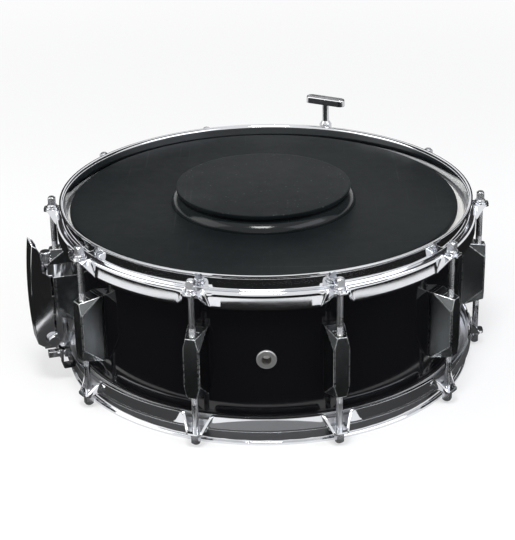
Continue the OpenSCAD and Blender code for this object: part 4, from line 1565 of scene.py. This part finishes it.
@dataclass
class Studio:
    """Pale floor, soft lamps, cards and the camera."""

    elevation: float = 24.228
    azimuth: float = 0.785
    roll: float = -1.001
    distance: float = 1.4837
    target: tuple[float, float, float] = (0.0, 0.0, 0.0772)
    focal_ratio: float = 3.0
    slide: Pair = (-0.0085, 0.0)
    sky_colour: Colour = (0.985, 0.99, 1.0)
    sky_light: float = 0.55
    lamp_aim: tuple[float, float, float] = (0.0, 0.0, 0.08)
    floor_half: float = 7.0
    floor_colour: Colour = (0.88, 0.88, 0.88)
    floor_glow: float = 0.55
    floor_seen: Pair = (0.6, 1.5)
    lamps: tuple[SoftLamp, ...] = (
        SoftLamp("lamp_key", -4.0, 1.75, 0.85, (0.5, 0.45), 20.0),
        SoftLamp("lamp_left", -80.0, 1.1, 1.5, (1.3, 1.3), 9.0),
        SoftLamp("lamp_right", 62.0, 1.2, 1.4, (1.3, 0.9), 9.0, (0.86, 0.89, 1.0)),
    )
    cards: tuple[DarkCard, ...] = (
        # card_foot paints the drum's contact shadow as the lower hoop's collar reflects it; every card paints dark
        # reflections.
        DarkCard("card_foot", -180.0, 180.0, (0.187, 0.187), (0.206, 0.206), shade=0.08),
        DarkCard("card_lens", -24.0, 24.0, (0.206, 0.206), (0.208, 0.208), 0.0235, shade=0.2),
        DarkCard("card_near_rear", 82.0, 278.0, (0.206, 0.206), (0.25, 0.25), shade=0.2),
        DarkCard("card_front", -19.0, 19.0, (0.2385, 0.2385), (0.464, 0.464), 0.005),
        DarkCard("card_front_wide", -24.0, 24.0, (0.481, 0.481), (0.95, 0.95), height=(0.0012, 0.0012)),
        DarkCard("card_rear", 82.0, 278.0, (0.25, 0.25), (0.53, 0.53)),
        DarkCard("card_key", 175.4, 178.2, (2.98, 2.98), (3.0, 3.0), height=(0.85, 1.122), shade=0.06),
    )
    left_cards: tuple[DarkCard, ...] = (
        DarkCard("card_near_left", -82.0, -28.0, (0.206, 0.206), (0.228, 0.236), shade=0.05),
        DarkCard("card_front_left", -40.0, -19.0, (0.2385, 0.2385), (0.449, 0.45)),
        DarkCard("card_left", -82.0, -40.0, (0.234, 0.2385), (0.410, 0.449)),
        DarkCard("card_left_far", -82.0, -24.0, (0.437, 0.475), (0.54, 0.54)),
        DarkCard("card_horizon_left", -62.0, -28.0, (2.5, 2.5), (2.6, 2.6), height=(0.01, 0.62), shade=0.04),
        DarkCard("card_wall_left", -171.0, -102.0, (3.0, 3.0), (3.2, 3.2), height=(0.8, 2.3), shade=0.06),
        DarkCard("card_rim_left", -176.4, -169.0, (3.0, 3.0), (3.05, 3.05), height=(0.9, 1.27), shade=0.06),
        DarkCard("card_side_left", -164.0, -102.0, (3.2, 3.2), (1.1, 1.1), height=(2.3, 3.6), shade=0.06),
    )
    card_steps: int = 60

    def build(self) -> None:
        """Sets up the whole studio."""
        self._world()
        self._floor()
        for lamp in self.lamps:
            self._lamp(lamp)
        for card in (*self.cards, *self.left_cards, *(left.twin() for left in self.left_cards)):
            self._card(card)
        self._camera()
        bpy.context.scene.view_settings.view_transform = "Standard"

    def _world(self) -> None:
        """A pale surround that lamps outshine, shown at full strength to the camera and in reflections."""
        world = bpy.data.worlds.new("studio")
        bpy.context.scene.world = world
        world.use_nodes = True
        nodes = NodeTree(world.node_tree)
        sky = nodes.add("ShaderNodeBackground")
        sky.inputs["Color"].default_value = (*self.sky_colour, 1.0)
        nodes.link(nodes.spread(self._seen(nodes), self.sky_light, 1.0), sky.inputs["Strength"])
        nodes.link(sky.outputs[0], nodes.add("ShaderNodeOutputWorld").inputs["Surface"])

    @staticmethod
    def _seen(nodes: NodeTree) -> bpy.types.NodeSocket:
        """Tells the rays that see a surface from those that only light it.

        Args:
            nodes: The tree.

        Returns:
            A socket: 1 for rays from the camera, off gloss and through clear parts, and 0 for the rest.
        """
        path = nodes.add("ShaderNodeLightPath").outputs
        seen = nodes.math("MAXIMUM", path["Is Camera Ray"], path["Is Glossy Ray"])
        return nodes.math("MAXIMUM", seen, path["Is Transmission Ray"])

    def _floor(self) -> None:
        """A wide pale floor that keeps the drum's shadow and is clear from below."""
        shape = bmesh.new()
        bmesh.ops.create_grid(shape, x_segments=2, y_segments=2, size=self.floor_half)
        floor = placed("floor", shape)
        made = bpy.data.materials.new("floor_paper")
        made.use_nodes = True
        nodes = NodeTree(made.node_tree)
        shader = nodes.add("ShaderNodeBsdfDiffuse")
        shader.inputs["Color"].default_value = (*self.floor_colour, 1.0)
        glow = nodes.add("ShaderNodeEmission")
        both = nodes.add("ShaderNodeMixShader")
        length = nodes.add("ShaderNodeVectorMath", operation="LENGTH")
        nodes.link(nodes.add("ShaderNodeTexCoord").outputs["Object"], length.inputs[0])
        near, far = self.floor_seen
        share = nodes.spread(length.outputs["Value"], self.floor_glow, 1.0, start=near, end=far)
        nodes.link(nodes.math("MULTIPLY", self._seen(nodes), share), both.inputs["Fac"])
        nodes.link(shader.outputs[0], both.inputs[1])
        nodes.link(glow.outputs[0], both.inputs[2])
        below = nodes.add("ShaderNodeMixShader")
        nodes.link(nodes.add("ShaderNodeNewGeometry").outputs["Backfacing"], below.inputs["Fac"])
        nodes.link(both.outputs[0], below.inputs[1])
        nodes.link(nodes.add("ShaderNodeBsdfTransparent").outputs[0], below.inputs[2])
        nodes.link(below.outputs[0], nodes.add("ShaderNodeOutputMaterial").inputs["Surface"])
        floor.data.materials.append(made)

    def _lamp(self, lamp: SoftLamp) -> None:
        """Adds one soft lamp.

        Args:
            lamp: The lamp's values.
        """
        data = bpy.data.lights.new(lamp.name, "AREA")
        data.shape, data.size, data.size_y, data.energy, data.color = "RECTANGLE", *lamp.size, lamp.power, lamp.tint
        made = bpy.data.objects.new(lamp.name, data)
        made.location = around(lamp.angle, lamp.distance, lamp.height)
        look = Vector(self.lamp_aim) - made.location
        made.rotation_euler = look.to_track_quat("-Z", "Y").to_euler()
        bpy.context.scene.collection.objects.link(made)

    def _card(self, card: DarkCard) -> None:
        """Adds one dark card, laid round the set and hidden from the camera, from diffuse light and from shadows, so
        that it shows only as a painted dark reflection.

        Args:
            card: The card's values.
        """
        shape = bmesh.new()
        bmesh.ops.create_grid(shape, x_segments=self.card_steps, y_segments=1, size=1.0)
        for vert in shape.verts:
            part = 0.5 * (vert.co.x + 1)
            angle = card.start + (card.end - card.start) * part
            edge = int(vert.co.y > 0)
            vert.co = around(angle, card.edges(part)[edge], card.height[edge])
        made = placed(card.name, shape)
        black = bpy.data.materials.new(card.name)
        black.use_nodes = True
        nodes = NodeTree(black.node_tree)
        shader = nodes.add("ShaderNodeBsdfDiffuse")
        shader.inputs["Color"].default_value = (card.shade, card.shade, card.shade, 1.0)
        nodes.link(shader.outputs[0], nodes.add("ShaderNodeOutputMaterial").inputs["Surface"])
        made.data.materials.append(black)
        made.visible_camera = made.visible_diffuse = made.visible_shadow = made.visible_transmission = False

    def _camera(self) -> None:
        """Places the camera at its viewing angle."""
        rise, turn, roll = (math.radians(v) for v in (self.elevation, self.azimuth, self.roll))
        back = Vector((math.sin(turn) * math.cos(rise), -math.cos(turn) * math.cos(rise), math.sin(rise)))
        right = (-back).cross(Vector((0, 0, 1))).normalized()
        up = right.cross(-back)
        side = math.cos(roll) * right + math.sin(roll) * up
        head = -math.sin(roll) * right + math.cos(roll) * up
        place = Vector(self.target) + back * self.distance + side * self.slide[0] + head * self.slide[1]
        data = bpy.data.cameras.new("camera")
        data.lens = self.focal_ratio * data.sensor_width
        made = bpy.data.objects.new("camera", data)
        made.matrix_world = Matrix((
            (side.x, head.x, back.x, place.x),
            (side.y, head.y, back.y, place.y),
            (side.z, head.z, back.z, place.z),
            (0.0, 0.0, 0.0, 1.0),
        ))
        bpy.context.scene.collection.objects.link(made)
        bpy.context.scene.camera = made


# ------------------------------------------------------------------ whole drum


def main() -> None:
    """Builds the drum's looks in order."""
    logging.basicConfig(level=logging.INFO, format="%(name)s: %(message)s")
    for old in list(bpy.data.objects):
        bpy.data.objects.remove(old)
    shop = Workshop(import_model())
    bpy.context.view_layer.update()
    PlainNodes().build(shop)
    Hoop("batter_hoop_dressed", "batter_hoop", rim_height=DRUM_HEIGHT, up=1.0).build(shop)
    Hoop("snare_hoop_dressed", "snare_hoop", rim_height=0.0, up=-1.0, gates=STRAP_ANGLES).build(shop)
    Hardware().build(shop)
    DrumKey().build(shop)
    PracticePad().build(shop)
    SnareSet().build(shop)
    Studio().build()


if __name__ == "__main__":
    main()
